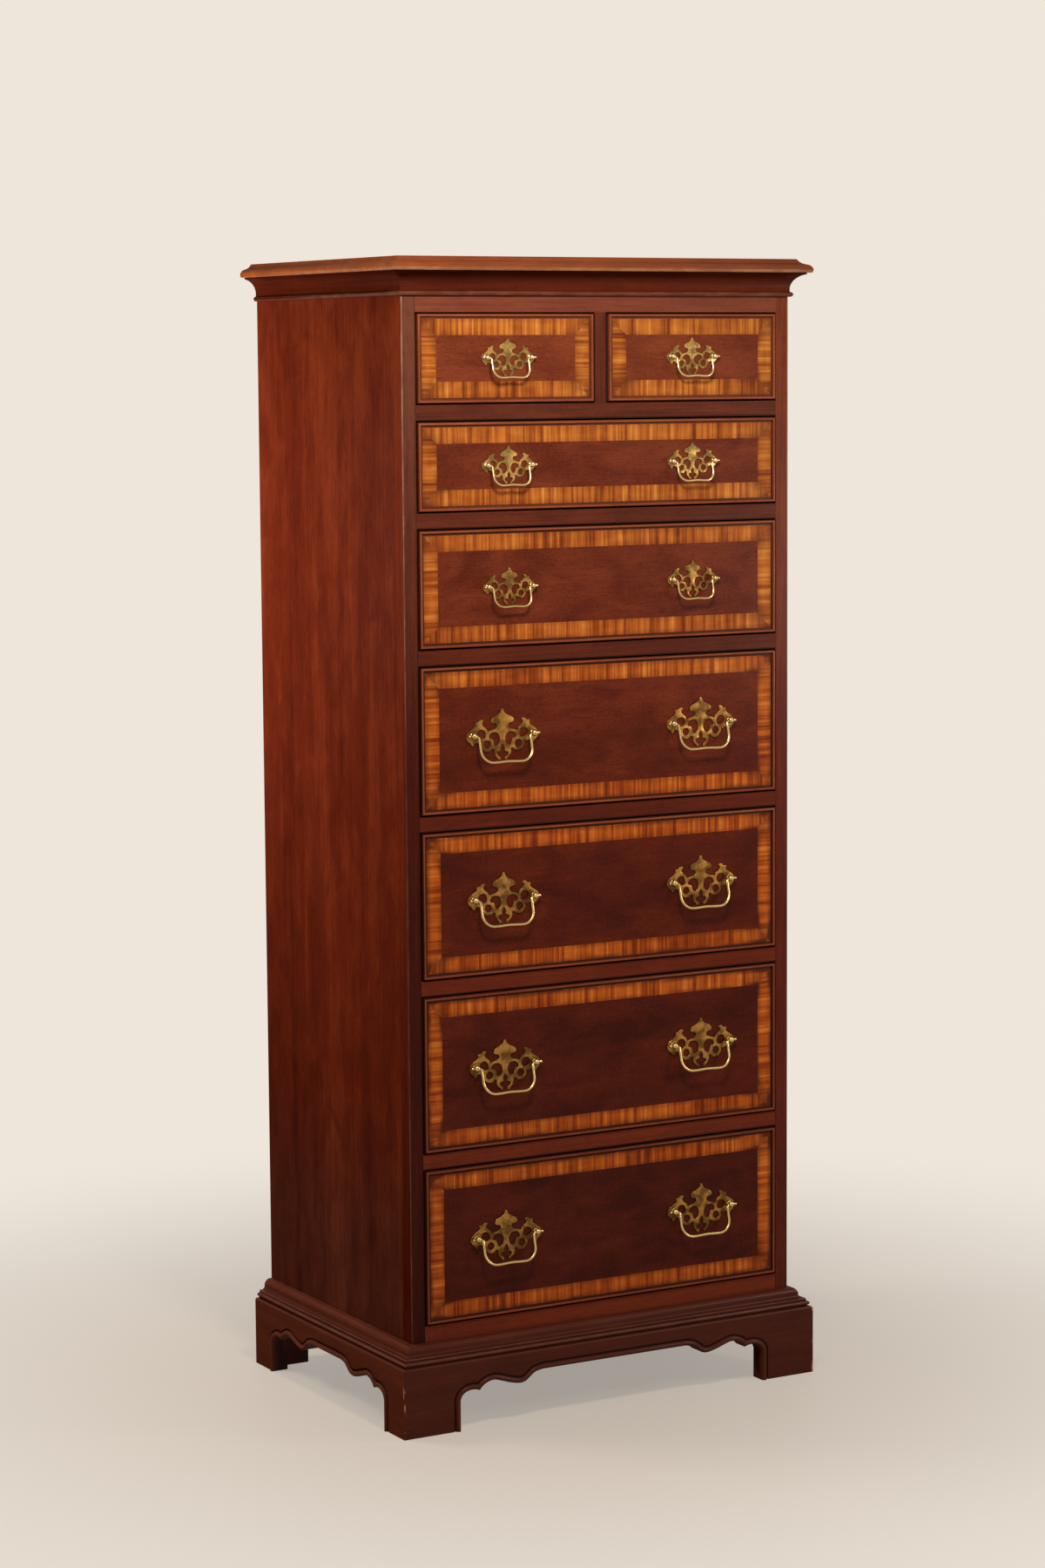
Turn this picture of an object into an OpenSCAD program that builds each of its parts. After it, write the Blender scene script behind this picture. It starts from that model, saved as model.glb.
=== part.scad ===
/* [Case] */
// Width of the case across its two sides
case_w = 583; // [480:1:760]
// Depth of the case from its front plane to its back
case_d = 414; // [340:1:520]
// Thickness of the side panels
side_t = 19; // [15:0.5:24]
// Width of the front stiles seen from the front
stile_w = 19.8; // [19.2:0.2:30]
// Depth of the front stiles and of the rails between them
stile_d = 22; // [16:1:30]
// Thickness of the plywood back
back_t = 6; // [4:0.5:10]
// Depth of the housings in the sides that take the dust frames
housing_d = 5; // [3:0.5:8]
// Glue line or play left between pieces of one frame or box
joint_gap = 0.1; // [0.05:0.05:0.3]

/* [Rows] */
// Height of the two small openings in the top row
row_1_h = 116.5; // [100:0.5:150]
// Height of the second opening from the top
row_2_h = 116.5; // [100:0.5:150]
// Height of the third opening
row_3_h = 154; // [120:0.5:190]
// Height of the fourth opening
row_4_h = 192.5; // [150:0.5:230]
// Height of the fifth opening
row_5_h = 192.5; // [150:0.5:230]
// Height of the sixth opening
row_6_h = 206; // [160:0.5:250]
// Height of the lowest opening
row_7_h = 206; // [160:0.5:250]
// Thickness of the rails and dust frames between the openings
rail_t = 20; // [16:0.5:26]
// Width of the upright between the two top drawers
divider_w = 19; // [15:0.5:26]
// Height of bottom rail seen under the lowest opening
bottom_rail_show = 21; // [12:1:40]
// Height of top rail seen over the highest opening
top_rail_show = 20; // [12:1:40]

/* [Dust frames] */
// Depth of the front blade of a dust frame behind the stiles
blade_d = 45; // [30:1:70]
// Width of the side runners of a dust frame
runner_w = 48; // [30:1:70]
// Thickness of the plywood panel in a dust frame
dust_panel_t = 4; // [3:0.5:6]
// Depth of the groove that holds the dust panel
dust_groove_d = 7; // [4:0.5:10]
// Size of a drawer stop from front to back
stop_d = 12; // [8:1:20]
// Height of a drawer stop
stop_h = 14; // [8:1:24]

/* [Top and cornice] */
// Thickness of the top board
top_t = 18; // [14:0.5:26]
// Overhang of the top board's widest point past the case
top_over = 24.5; // [21.5:0.5:36]
// Height of the cornice moulding under the top
cornice_h = 32; // [28:0.5:44]
// Overhang of the cornice moulding at its upper fillet
cornice_over = 18; // [12:0.5:20]

/* [Base] */
// Height of the bracket base boards
base_h = 92; // [84:1:120]
// Overhang of the base boards past the case
base_over = 25.5; // [24:0.5:36]
// Thickness of the base boards
base_t = 22; // [16:0.5:23]
// Height of the moulding on the base boards
base_mould_h = 25; // [23:0.5:36]
// Width of a front foot seen from the front
front_foot_w = 83; // [60:1:110]
// Width of a foot seen from the side
side_foot_w = 54; // [40:1:80]
// Length of the scroll from a foot to the straight middle of the opening
scroll_run = 124; // [90:1:126]
// Height of that straight middle over the floor
scroll_h = 65.5; // [56:0.5:70]
// Width of the bead that edges the scrolled openings
scroll_bead_w = 7; // [4:0.5:8]
// Height of that bead over the face of the board
scroll_bead_proud = 2.5; // [1:0.5:4]
// Width of the quirk groove beside the bead
quirk_w = 2.5; // [1.5:0.5:3]
// Depth of that groove
quirk_d = 1.5; // [0.5:0.25:3]
// Thickness of the deck that the case stands on
deck_t = 18; // [12:1:24]
// Side of the square corner blocks in the feet
block_s = 32; // [20:1:40]
// Gap between those blocks and the floor
block_up = 6; // [2:1:20]
// Width of the deck's boards
deck_rail_w = 65; // [40:1:100]
// Width of a rear bracket foot at the floor
rear_foot_w = 31; // [20:1:60]
// Height of the plain board across the back of the base
rear_rail_h = 34; // [24:1:50]

/* [Drawers] */
// Gap all round a drawer front in its opening
front_gap = 2; // [1:0.25:3]
// Thickness of the solid core of a drawer front
front_t = 19; // [16:0.5:24]
// Thickness of the face veneers
veneer_t = 1; // [0.6:0.1:1.5]
// How far the veneered face stands in front of the case
face_proud = 0.8; // [0:0.1:2]
// Width of the cock bead round a drawer front
bead_w = 4; // [3:0.25:6]
// How far the cock bead stands in front of the veneer
bead_proud = 2.6; // [1.5:0.1:4]
// Width of the dark quirk between the bead and the veneer
bead_quirk = 2.5; // [1.5:0.25:4]
// Width of the crossbanded border
band_w = 20.5; // [14:0.5:30]
// Thickness of the drawer sides and back
box_t = 12; // [9:0.5:16]
// Thickness of the drawer bottoms
bottom_t = 5; // [3:0.5:8]
// Height of a drawer bottom over the lower edge of the sides
bottom_up = 12; // [8:1:18]
// Depth of the grooves in the drawer sides and fronts
groove_d = 5; // [3:0.5:7]
// Running gap between a drawer and its runners and stops
run_gap = 0.3; // [0.2:0.05:0.8]
// Space over the drawer sides in their opening
top_space = 7; // [4:0.5:14]
// Wood left in front of the dovetails
dovetail_lap = 6; // [4:0.5:9]
// Slope of the dovetails in degrees
dovetail_slope = 10; // [6:1:14]

/* [Handles] */
// Distance between the two posts of a large handle
large_post_span = 89; // [76:1:110]
// Distance between the two posts of a small handle
small_post_span = 65; // [56:1:76]
// Distance of a large handle from the centre of the drawer
large_handle_x = 151; // [100:1:190]
// Distance of a small handle from the centre of the case
small_handle_x = 139; // [80:1:200]
// Height of the handle posts over the middle of a small drawer front
small_handle_up = 1; // [-6:0.5:8]
// Height of the handle posts over the middle of a large drawer front
large_handle_up = 4; // [-6:0.5:12]
// Thickness of the pierced brass plates
plate_t = 1.5; // [1:0.1:2.5]
// Distance of the bail's pivot from the drawer face
pivot_out = 6.5; // [6:0.25:10]
// Radius of the ball head of a large post
large_ball_r = 4.4; // [3.5:0.1:4.6]
// Radius of the ball head of a small post
small_ball_r = 3.7; // [3:0.1:4.2]
// Radius of the rod of a large bail
large_rod_r = 1.9; // [1.4:0.1:2.4]
// Radius of the rod of a small bail
small_rod_r = 1.5; // [1.2:0.1:1.8]
// Radius of the small ball on the end of a large bail's pin
large_tip_r = 2; // [1.5:0.1:2.4]
// Radius of the small ball on the end of a small bail's pin
small_tip_r = 1.5; // [1.3:0.1:2]
// Radius of the bail's pin in the post
pin_r = 1.2; // [0.9:0.05:1.4]
// Running clearance of the pin in its hole
pin_gap = 0.08; // [0.03:0.01:0.1]
// Drop of a large bail from its pivot to its grip
large_drop = 35.5; // [28:0.5:44]
// Drop of a small bail from its pivot to its grip
small_drop = 26.5; // [22:0.5:34]
// Radius of the two lower corners of a large bail
large_corner_r = 17; // [10:0.5:26]
// Radius of the two lower corners of a small bail
small_corner_r = 12.5; // [8:0.5:20]
// Lean of a bail away from the drawer when it hangs, in degrees
bail_lean = 15; // [5:1:20]
// Radius of the bolts that hold a handle
bolt_r = 2; // [1.5:0.1:2.4]
// Size across the flats of the nuts inside a drawer
nut_flats = 9; // [7:0.5:11]
// Thickness of those nuts
nut_t = 3.5; // [2.5:0.5:5]

/* [Hidden] */
$fn = 48;

mahogany = [0.36, 0.13, 0.07];
top_mahogany = [0.50, 0.22, 0.09];
satinwood = [0.74, 0.43, 0.16];
dark_edge = [0.16, 0.06, 0.04];
poplar = [0.78, 0.66, 0.46];
ply = [0.70, 0.55, 0.36];
brass = [0.62, 0.50, 0.24];

// Planes of the case, with the origin under the middle of the whole chest
hw = case_w / 2;
front_y = -(case_d - base_over - scroll_bead_proud) / 2;
back_y = front_y + case_d;
inner_w = case_w - 2 * side_t;
open_w = case_w - 2 * stile_w;
frame_w = inner_w + 2 * housing_d;
deck_hw = hw + base_over - base_t;
deck_front = front_y - base_over + base_t;
frame_front_y = front_y + stile_d;
frame_back_y = back_y - back_t;

// Levels, from the floor up
case_z = base_h;
base_mould_top = base_h + base_mould_h;
row_h = [row_1_h, row_2_h, row_3_h, row_4_h, row_5_h, row_6_h, row_7_h];
row_7_z = base_mould_top + bottom_rail_show;
row_6_z = row_7_z + row_7_h + rail_t;
row_5_z = row_6_z + row_6_h + rail_t;
row_4_z = row_5_z + row_5_h + rail_t;
row_3_z = row_4_z + row_4_h + rail_t;
row_2_z = row_3_z + row_3_h + rail_t;
row_1_z = row_2_z + row_2_h + rail_t;
row_z = [row_1_z, row_2_z, row_3_z, row_4_z, row_5_z, row_6_z, row_7_z];
row_top = row_1_z + row_1_h;
cornice_z = row_top + top_rail_show;
top_z = cornice_z + cornice_h;
total_h = top_z + top_t;

// Drawers: the two in the top row, then one for each lower row
half_open_w = (open_w - divider_w) / 2;
half_x = (divider_w + half_open_w) / 2;
drawer_tag = ["1l", "1r", "2", "3", "4", "5", "6", "7"];
drawer_x = [-half_x, half_x, 0, 0, 0, 0, 0, 0];
drawer_open_w = [half_open_w, half_open_w, open_w, open_w, open_w, open_w, open_w, open_w];
face_y = front_y - face_proud;
core_y = face_y + veneer_t;
core_back_y = core_y + front_t;
box_back_y = frame_back_y - stop_d - run_gap;

// Handles: drawer index, place and size of each bail
bail_tag = ["1l", "1r", "2l", "2r", "3l", "3r", "4l", "4r", "5l", "5r", "6l", "6r", "7l", "7r"];
plate_span = 89.5;
rod_clear = 0.35;
back_inset = 8;
back_drop = 4;
tail_space = 3;
tail_pitch = 38;
eps = 0.01;
collar_size = 0.82;
bolt_over = 2;

function drawer_row(d) = max(0, d - 1);
function bail_drawer(b) = b < 2 ? b : floor(b / 2) + 1;
function is_large(d) = drawer_row(d) > 2;
function is_right(b) = b % 2 == 1;
function handle_x(b) = (is_right(b) ? 1 : -1) * (is_large(bail_drawer(b)) ? large_handle_x : small_handle_x);
function handle_up(d) = is_large(d) ? large_handle_up : small_handle_up;
function handle_z(d) = row_z[drawer_row(d)] + row_h[drawer_row(d)] / 2 + handle_up(d);
function post_x(d) = (is_large(d) ? large_post_span : small_post_span) / 2;
function ball_r(d) = is_large(d) ? large_ball_r : small_ball_r;
function rod_r(d) = is_large(d) ? large_rod_r : small_rod_r;
function drop(d) = is_large(d) ? large_drop : small_drop;
function corner_r(d) = is_large(d) ? large_corner_r : small_corner_r;
function tip_r(d) = is_large(d) ? large_tip_r : small_tip_r;
function leg_x(d) = post_x(d) - ball_r(d) - rod_clear - rod_r(d);

// Points of an arc from p to q; a positive radius curves anticlockwise
function bow(p, q, r, n = 6) =
  let (
    d = q - p,
    l = norm(d),
    h = sqrt(max(0, r * r - l * l / 4)) * sign(r),
    c = (p + q) / 2 + h * [-d[1], d[0]] / l,
    start = atan2(p[1] - c[1], p[0] - c[0]),
    turn = 2 * asin(l / 2 / r)
  ) [for (i = [0:n]) c + abs(r) * [cos(start + turn * i / n), sin(start + turn * i / n)]];

// Points of a smooth curve that passes through every point of a list
function smooth(p, n = 4) =
  let (last = len(p) - 1)
  concat([for (i = [0:last - 1]) for (k = [0:n - 1]) blend_point(p, i, k / n, last)], [p[last]]);
function blend_point(p, i, t, last) =
  let (
    a = p[max(i - 1, 0)],
    b = p[i],
    c = p[i + 1],
    d = p[min(i + 2, last)]
  ) 0.5 * (2 * b + (c - a) * t + (2 * a - 5 * b + 4 * c - d) * t * t + (3 * b - a - 3 * c + d) * t * t * t);

// A path moved to the left of its own direction, without the loops that a sharp corner would give
function beside(p, w) = [
  for (i = [0:len(p) - 1])
    let (
      before = p[max(i - 1, 0)],
      after = p[min(i + 1, len(p) - 1)],
      along = (after - before) / norm(after - before),
      q = p[i] + w * [-along[1], along[0]]
    ) if (min([for (r = p) norm(q - r)]) > w - 0.25) q
];
function reversed(p) = [for (i = [len(p) - 1:-1:0]) p[i]];

// Moulded edge of the top board as overhang and height over its underside
top_profile = concat(
  bow([top_over - 16.3, top_t], [top_over - 10.3, top_t - 6], 14),
  [[top_over - 8.2, top_t - 6.6]],
  bow([top_over - 8, top_t - 7], [top_over, top_t - 15], -8.2),
  [[top_over - 1.2, 0]]
);
// Cornice moulding: fillet, cove and bead
cornice_profile = concat(
  [[0, cornice_h], [cornice_over, cornice_h], [cornice_over, cornice_h - 2.2]],
  bow([cornice_over, cornice_h - 2.2], [1.6, 8], 20, 10),
  bow([1.8, 6.8], [1.8, 0.4], -3.2, 8),
  [[0, 0.4]]
);
// Base moulding: ovolo, small cove, fillet and astragal
base_profile = concat(
  [[0, base_mould_h], [base_over - 23.5, base_mould_h]],
  bow([base_over - 23.5, base_mould_h], [base_over - 14.5, base_mould_h - 9], -9),
  bow([base_over - 14.5, base_mould_h - 10.6], [base_over - 8.2, base_mould_h - 14.4], 5, 5),
  [[base_over - 7, base_mould_h - 14.4], [base_over - 7, base_mould_h - 17.6]],
  bow([base_over - 5.8, base_mould_h - 18], [base_over - 5.8, base_mould_h - 23.2], -2.6, 8),
  [[base_over - 5.8, 0], [0, 0]]
);
// Scroll of the apron, from the foot's inner edge to the straight middle
scroll_drawn = [124, 65.5];
scroll_start = smooth([[0, 41], [3, 47], [9, 51], [16, 52.7], [23, 52.2], [28.5, 50.5]]);
scroll_end = smooth(
  [[28.5, 50.5], [34, 56], [42, 60], [51, 61.2], [62, 58.2], [75, 54], [88, 51.5], [97, 52.8],
   [104, 57.5], [112, 63], [124, 65.5]]
);
scroll_low = [[0, 0], [0, 14], [0, 28]];
scroll_half = [
  for (p = concat(scroll_low, [for (i = [0:len(scroll_start) - 2]) scroll_start[i]], scroll_end))
    [p[0] * scroll_run / scroll_drawn[0], p[1] * scroll_h / scroll_drawn[1]]
];

module along_x(length) {
  // A profile of y and z drawn along x, centred
  translate([-length / 2, 0, 0]) rotate([90, 0, 90]) linear_extrude(length) children();
}
module along_y(y0, y1) {
  // A profile of x and z drawn along y
  translate([0, y1, 0]) rotate([90, 0, 0]) linear_extrude(y1 - y0) children();
}
module block(x0, x1, y0, y1, z0, z1) {
  translate([x0, y0, z0]) cube([x1 - x0, y1 - y0, z1 - z0]);
}
module block_x(w, y0, y1, z0, z1) {
  block(-w / 2, w / 2, y0, y1, z0, z1);
}

// Moulded band round the front and both sides, with mitres where the lengths meet
module moulded_ring(profile, over, z0) {
  outer_front = [for (p = profile) [front_y - p[0], p[1]]];
  far = back_y + over;
  intersection() {
    translate([0, 0, z0]) along_x(case_w + 2 * over + 2)
      polygon(concat(outer_front, [[far, profile[len(profile) - 1][1]], [far, profile[0][1]]]));
    translate([0, 0, z0]) along_y(front_y - over - 1, back_y)
      polygon(concat([for (p = profile) [hw + p[0], p[1]]],
        [for (i = [len(profile) - 1:-1:0]) [-hw - profile[i][0], profile[i][1]]]));
  }
}
module mitre_front(over) {
  // Everything in front of the two mitre planes
  linear_extrude(total_h)
    polygon([[-hw - 2 * over, front_y - 2 * over], [hw + 2 * over, front_y - 2 * over],
      [0, front_y + hw]]);
}

module left_side() {
  color(mahogany) side_panel();
}
module right_side() {
  color(mahogany) mirror([1, 0, 0]) side_panel();
}
module side_panel() {
  difference() {
    block(-hw, -hw + side_t, frame_front_y, back_y, case_z, top_z);
    block(-hw + side_t - housing_d, -hw + side_t + 1, back_y - back_t, back_y + 1, case_z - 1, top_z + 1);
    for (i = [0:5])
      block(-hw + side_t - housing_d, -hw + side_t + 1, frame_front_y - 1, frame_back_y,
        row_z[i] - rail_t, row_z[i]);
    block(-hw + side_t - housing_d, -hw + side_t + 1, frame_front_y - 1, frame_back_y,
      row_z[6] - rail_t, row_z[6]);
  }
}
module left_stile() {
  color(mahogany) block(-hw, -hw + stile_w, front_y, frame_front_y, case_z, top_z);
}
module right_stile() {
  color(mahogany) block(hw - stile_w, hw, front_y, frame_front_y, case_z, top_z);
}
module back_panel() {
  color(ply) block_x(frame_w, frame_back_y, back_y, case_z, top_z);
}
module top_board() {
  color(top_mahogany) moulded_ring(top_profile, top_over, top_z);
}
module cornice_moulding() {
  color(mahogany) mitred_lengths(cornice_profile, cornice_over + 8, cornice_z);
}
module base_moulding() {
  color(mahogany) mitred_lengths(base_profile, base_over + 8, base_h);
}
module mitred_lengths(profile, over, z0) {
  intersection() {
    hollow_ring(profile, over, z0);
    mitre_front(over);
  }
  for (side = [-1, 1])
    intersection() {
      difference() {
        hollow_ring(profile, over, z0);
        translate([0, 1.5 * joint_gap, 0]) mitre_front(over);
      }
      block(side < 0 ? -hw - over : 0, side < 0 ? 0 : hw + over, front_y - over, back_y + 1, 0, total_h);
    }
}
module hollow_ring(profile, over, z0) {
  difference() {
    moulded_ring(profile, over, z0);
    block_x(case_w, front_y, back_y + 1, z0 - 1, z0 + 60);
  }
}

module top_frame() {
  // Top rail, kickers over the two small drawers, and cleats that hold the top
  kicker_y0 = frame_front_y + blade_d + joint_gap;
  kicker_y1 = frame_back_y - blade_d - joint_gap;
  kicker_top = row_top + rail_t;
  cleat_z = kicker_top + joint_gap;
  color(mahogany) block_x(open_w, front_y, frame_front_y, row_top, top_z);
  color(poplar) {
    block_x(inner_w, frame_front_y + joint_gap, frame_front_y + blade_d, row_top, kicker_top);
    block_x(inner_w, frame_back_y - blade_d, frame_back_y, row_top, kicker_top);
    for (side = [-1, 0, 1])
      translate([side * (inner_w - runner_w) / 2, 0, 0])
        block_x(runner_w, kicker_y0, kicker_y1, row_top, kicker_top);
    block_x(inner_w, frame_front_y + joint_gap, frame_front_y + rail_t, cleat_z, top_z);
    block_x(inner_w, frame_back_y - rail_t, frame_back_y, cleat_z, top_z);
  }
}
module centre_divider() {
  color(mahogany)
    block_x(divider_w, front_y, frame_front_y, row_z[0], row_top);
  color(poplar)
    block_x(divider_w, frame_front_y + joint_gap, frame_back_y, row_z[0], row_z[0] + stop_h);
}
module dust_frame(row) {
  top = row_z[row];
  grooved_frame(top - rail_t, top);
  stop_blocks(row, top);
}
module stop_blocks(row, top) {
  for (d = [0:7])
    if (drawer_row(d) == row)
      for (side = [-1, 1])
        color(poplar)
          translate([drawer_x[d] + side * (drawer_open_w[d] / 2 - front_gap - runner_w / 2), 0, 0])
            block_x(runner_w / 2, frame_back_y - stop_d, frame_back_y, top + joint_gap, top + stop_h);
}
module grooved_frame(z0, z1) {
  inner_front = frame_front_y + blade_d;
  inner_back = frame_back_y - blade_d;
  color(mahogany)
    difference() {
      union() {
        block_x(open_w, front_y, frame_front_y, z0, z1);
        block_x(frame_w, frame_front_y, inner_front, z0, z1);
      }
      dust_panel(z0, z1, joint_gap);
    }
  color(poplar)
    difference() {
      block_x(frame_w, inner_back, frame_back_y, z0, z1);
      dust_panel(z0, z1, joint_gap);
    }
  for (side = [-1, 1])
    color(poplar)
      difference() {
        translate([side * (frame_w - runner_w) / 2, 0, 0])
          block_x(runner_w, inner_front + joint_gap, inner_back - joint_gap, z0, z1);
        dust_panel(z0, z1, joint_gap);
      }
  color(ply) dust_panel(z0, z1, 0);
}
module dust_panel(z0, z1, play) {
  // The plywood panel, or with some play the groove that it sits in
  w = frame_w - 2 * (runner_w - dust_groove_d) + 2 * play;
  z = (z0 + z1 - dust_panel_t) / 2 - play;
  block_x(w, frame_front_y + blade_d - dust_groove_d - play, frame_back_y - blade_d + dust_groove_d + play,
    z, z + dust_panel_t + 2 * play);
}
module bottom_frame() {
  top = row_z[6];
  under = top - rail_t - joint_gap;
  grooved_frame(top - rail_t, top);
  stop_blocks(6, top);
  color(mahogany) block_x(open_w, front_y, frame_front_y, case_z, under);
  color(poplar) {
    for (side = [-1, 1])
      translate([side * (inner_w - rail_t) / 2, 0, 0])
        block_x(rail_t, frame_front_y + joint_gap, frame_back_y - rail_t - joint_gap, case_z, under);
    block_x(inner_w, frame_back_y - rail_t, frame_back_y, case_z, under);
  }
}

module scroll_opening(length, foot_w) {
  // Outline of the scrolled opening in a board that is centred on zero
  polygon(scroll_path(length, foot_w, 0));
}
function scroll_path(length, foot_w, w) =
  let (
    half = [for (p = beside(scroll_half, w)) [-length / 2 + foot_w + p[0], p[1]]],
    other = [for (p = reversed(half)) [-p[0], p[1]]]
  ) concat([[half[0][0], -1]], half, other, [[-half[0][0], -1]]);
module scroll_band(length, foot_w, w0, w1) {
  difference() {
    polygon(scroll_path(length, foot_w, w1));
    polygon(scroll_path(length, foot_w, w0));
    translate([-length, -20]) square([2 * length, 20]);
  }
}
module apron_board(length, foot_w) {
  // Board with its outer face on y = 0 and its length along x
  difference() {
    intersection() {
      along_x(length)
        polygon(concat([[0, 0], [0, base_h - 3]], bow([0, base_h - 3], [3, base_h], -3, 5),
          [[base_t, base_h], [base_t, 0]]));
      translate([0, base_t + 1, 0]) rotate([90, 0, 0]) linear_extrude(base_t + 2)
        difference() {
          translate([-length / 2, 0]) square([length, base_h]);
          scroll_opening(length, foot_w);
        }
    }
    translate([0, quirk_d, 0]) rotate([90, 0, 0]) linear_extrude(quirk_d + 1)
      scroll_band(length, foot_w, scroll_bead_w, scroll_bead_w + quirk_w);
  }
  translate([0, eps, 0]) rotate([90, 0, 0]) linear_extrude(scroll_bead_proud + eps)
    scroll_band(length, foot_w, 0, scroll_bead_w);
}
module front_apron() {
  color(mahogany)
    intersection() {
      translate([0, front_y - base_over, 0]) apron_board(case_w + 2 * base_over, front_foot_w);
      mitre_front(base_over);
    }
}
module side_apron() {
  length = case_d + base_over;
  difference() {
    translate([-hw - base_over, (front_y - base_over + back_y) / 2, 0]) rotate([0, 0, -90])
      apron_board(length, side_foot_w);
    mitre_front(base_over);
  }
}
module left_apron() {
  color(mahogany) side_apron();
}
module right_apron() {
  color(mahogany) mirror([1, 0, 0]) side_apron();
}
module base_deck() {
  // Four boards that carry the case, and a glued block in each foot
  deck_z = base_h - deck_t;
  rail_y0 = deck_front + deck_rail_w;
  rail_y1 = back_y - deck_rail_w;
  color(poplar) {
    block_x(2 * deck_hw, deck_front, rail_y0, deck_z, base_h);
    block_x(2 * deck_hw, rail_y1, back_y, deck_z, base_h);
    for (side = [-1, 1]) {
      translate([side * (deck_hw - deck_rail_w / 2), 0, 0])
        block_x(deck_rail_w, rail_y0 + joint_gap, rail_y1 - joint_gap, deck_z, base_h);
      translate([side * (deck_hw - block_s / 2), 0, 0]) {
        block_x(block_s, deck_front, deck_front + block_s, block_up, deck_z - joint_gap);
        block_x(block_s, back_y - base_t - block_s, back_y - base_t, block_up, deck_z - joint_gap);
      }
    }
  }
}
module rear_base() {
  // Plain board across the back with a bracket foot at each end
  deck_z = base_h - deck_t;
  rail_z = deck_z - rear_rail_h;
  foot_top = rail_z - joint_gap;
  color(poplar) {
    block_x(2 * deck_hw, back_y - base_t, back_y, rail_z, deck_z);
    for (flip = [0, 1])
      mirror([flip, 0, 0]) along_y(back_y - base_t, back_y)
        polygon([[-deck_hw, 0], [-deck_hw + rear_foot_w, 0], [-deck_hw + rear_foot_w * 1.5, foot_top],
          [-deck_hw, foot_top]]);
  }
}

// Rounded bead and quirk round a drawer front, as inset and height over the face
function edge_profile() = concat(
  [[0, -veneer_t], [0, bead_proud - bead_w / 2]],
  bow([0, bead_proud - bead_w / 2], [bead_w, bead_proud - bead_w / 2], -bead_w / 2, 10),
  [[bead_w, -quirk_deep], [edge_in, -quirk_deep], [edge_in, -veneer_t]]
);
edge_in = bead_w + bead_quirk;
quirk_deep = 0.6;
module frame_side(w, h, inset0, inset1) {
  // The lower side of a mitred frame, seen from the front, with glue lines at its ends
  g = joint_gap;
  polygon([[-w / 2 + inset0 + g, inset0], [w / 2 - inset0 - g, inset0],
    [w / 2 - inset1 - g, inset1], [-w / 2 + inset1 + g, inset1]]);
}
module upright_side(w, h, inset0, inset1) {
  polygon([[-w / 2 + inset0, inset0], [-w / 2 + inset1, inset1],
    [-w / 2 + inset1, h - inset1], [-w / 2 + inset0, h - inset0]]);
}
module on_face(y0, y1) {
  // A flat shape of x and z made solid between two planes
  translate([0, y1, 0]) rotate([90, 0, 0]) linear_extrude(y1 - y0) children();
}
module edge_lengths(w, h) {
  profile = edge_profile();
  for (flip = [0, 1])
    translate([0, 0, flip * h]) mirror([0, 0, flip])
      intersection() {
        along_x(w) polygon([for (p = profile) [face_y - p[1], p[0]]]);
        on_face(face_y - bead_proud - 1, core_y - joint_gap) frame_side(w, h, 0, edge_in);
      }
  for (flip = [0, 1])
    mirror([flip, 0, 0])
      intersection() {
        translate([-w / 2, 0, 0]) linear_extrude(h) polygon([for (p = profile) [p[0], face_y - p[1]]]);
        on_face(face_y - bead_proud - 1, core_y - joint_gap) upright_side(w, h, 0, edge_in);
      }
}
module band_lengths(w, h) {
  i0 = edge_in + joint_gap;
  i1 = edge_in + band_w;
  under = core_y - joint_gap;
  for (flip = [0, 1]) {
    translate([0, 0, flip * h]) mirror([0, 0, flip]) on_face(face_y, under) frame_side(w, h, i0, i1);
    mirror([flip, 0, 0]) on_face(face_y, under) upright_side(w, h, i0, i1);
  }
}
function tail_count(h) = round(h / tail_pitch);
function box_side_h(row) = row_h[row] - run_gap - top_space;
module tails(row) {
  // Outlines of the tails of one drawer side, as y and z over the side's lower edge
  h = box_side_h(row);
  n = tail_count(h);
  pitch = h / n;
  tail_l = front_t - dovetail_lap;
  tip = pitch / 2 - tail_space;
  root = tip - tail_l * tan(dovetail_slope);
  for (i = [0:n - 1])
    polygon([
      [core_back_y + eps, (i + 0.5) * pitch - root], [core_back_y - tail_l, (i + 0.5) * pitch - tip],
      [core_back_y - tail_l, (i + 0.5) * pitch + tip], [core_back_y + eps, (i + 0.5) * pitch + root]
    ]);
}
module side_tails(row, w) {
  // Both sets of tails, used for the sides and for the sockets in the front
  for (side = [-1, 1])
    translate([side * (w - box_t) / 2, 0, 0]) along_x(box_t) tails(row);
}
module drawer_bottom(w, play) {
  // The bottom panel, or with some play the grooves that it slides into
  block_x(w - 2 * box_t + 2 * groove_d + 2 * play, core_back_y - groove_d - play, box_back_y + play,
    bottom_up - play, bottom_up + bottom_t + play);
}
module place_drawer(d) {
  translate([drawer_x[d], 0, row_z[drawer_row(d)]]) children();
}
module drawer_front(d) {
  row = drawer_row(d);
  w = drawer_open_w[d] - 2 * front_gap;
  h = row_h[row] - 2 * front_gap;
  place_drawer(d) {
    color(mahogany)
      difference() {
        translate([0, 0, front_gap]) block_x(w, core_y, core_back_y, 0, h);
        translate([0, 0, run_gap]) side_tails(row, w);
        translate([0, 0, run_gap]) drawer_bottom(w, joint_gap);
        bolt_holes(d);
      }
    translate([0, 0, front_gap]) {
      color(dark_edge) edge_lengths(w, h);
      color(satinwood) band_lengths(w, h);
      color(mahogany) field(d, w, h);
    }
  }
}
module field(d, w, h) {
  inset = edge_in + band_w + joint_gap;
  difference() {
    block_x(w - 2 * inset, face_y, core_y - joint_gap, inset, h - inset);
    translate([0, 0, -front_gap]) bolt_holes(d);
  }
}
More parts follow.
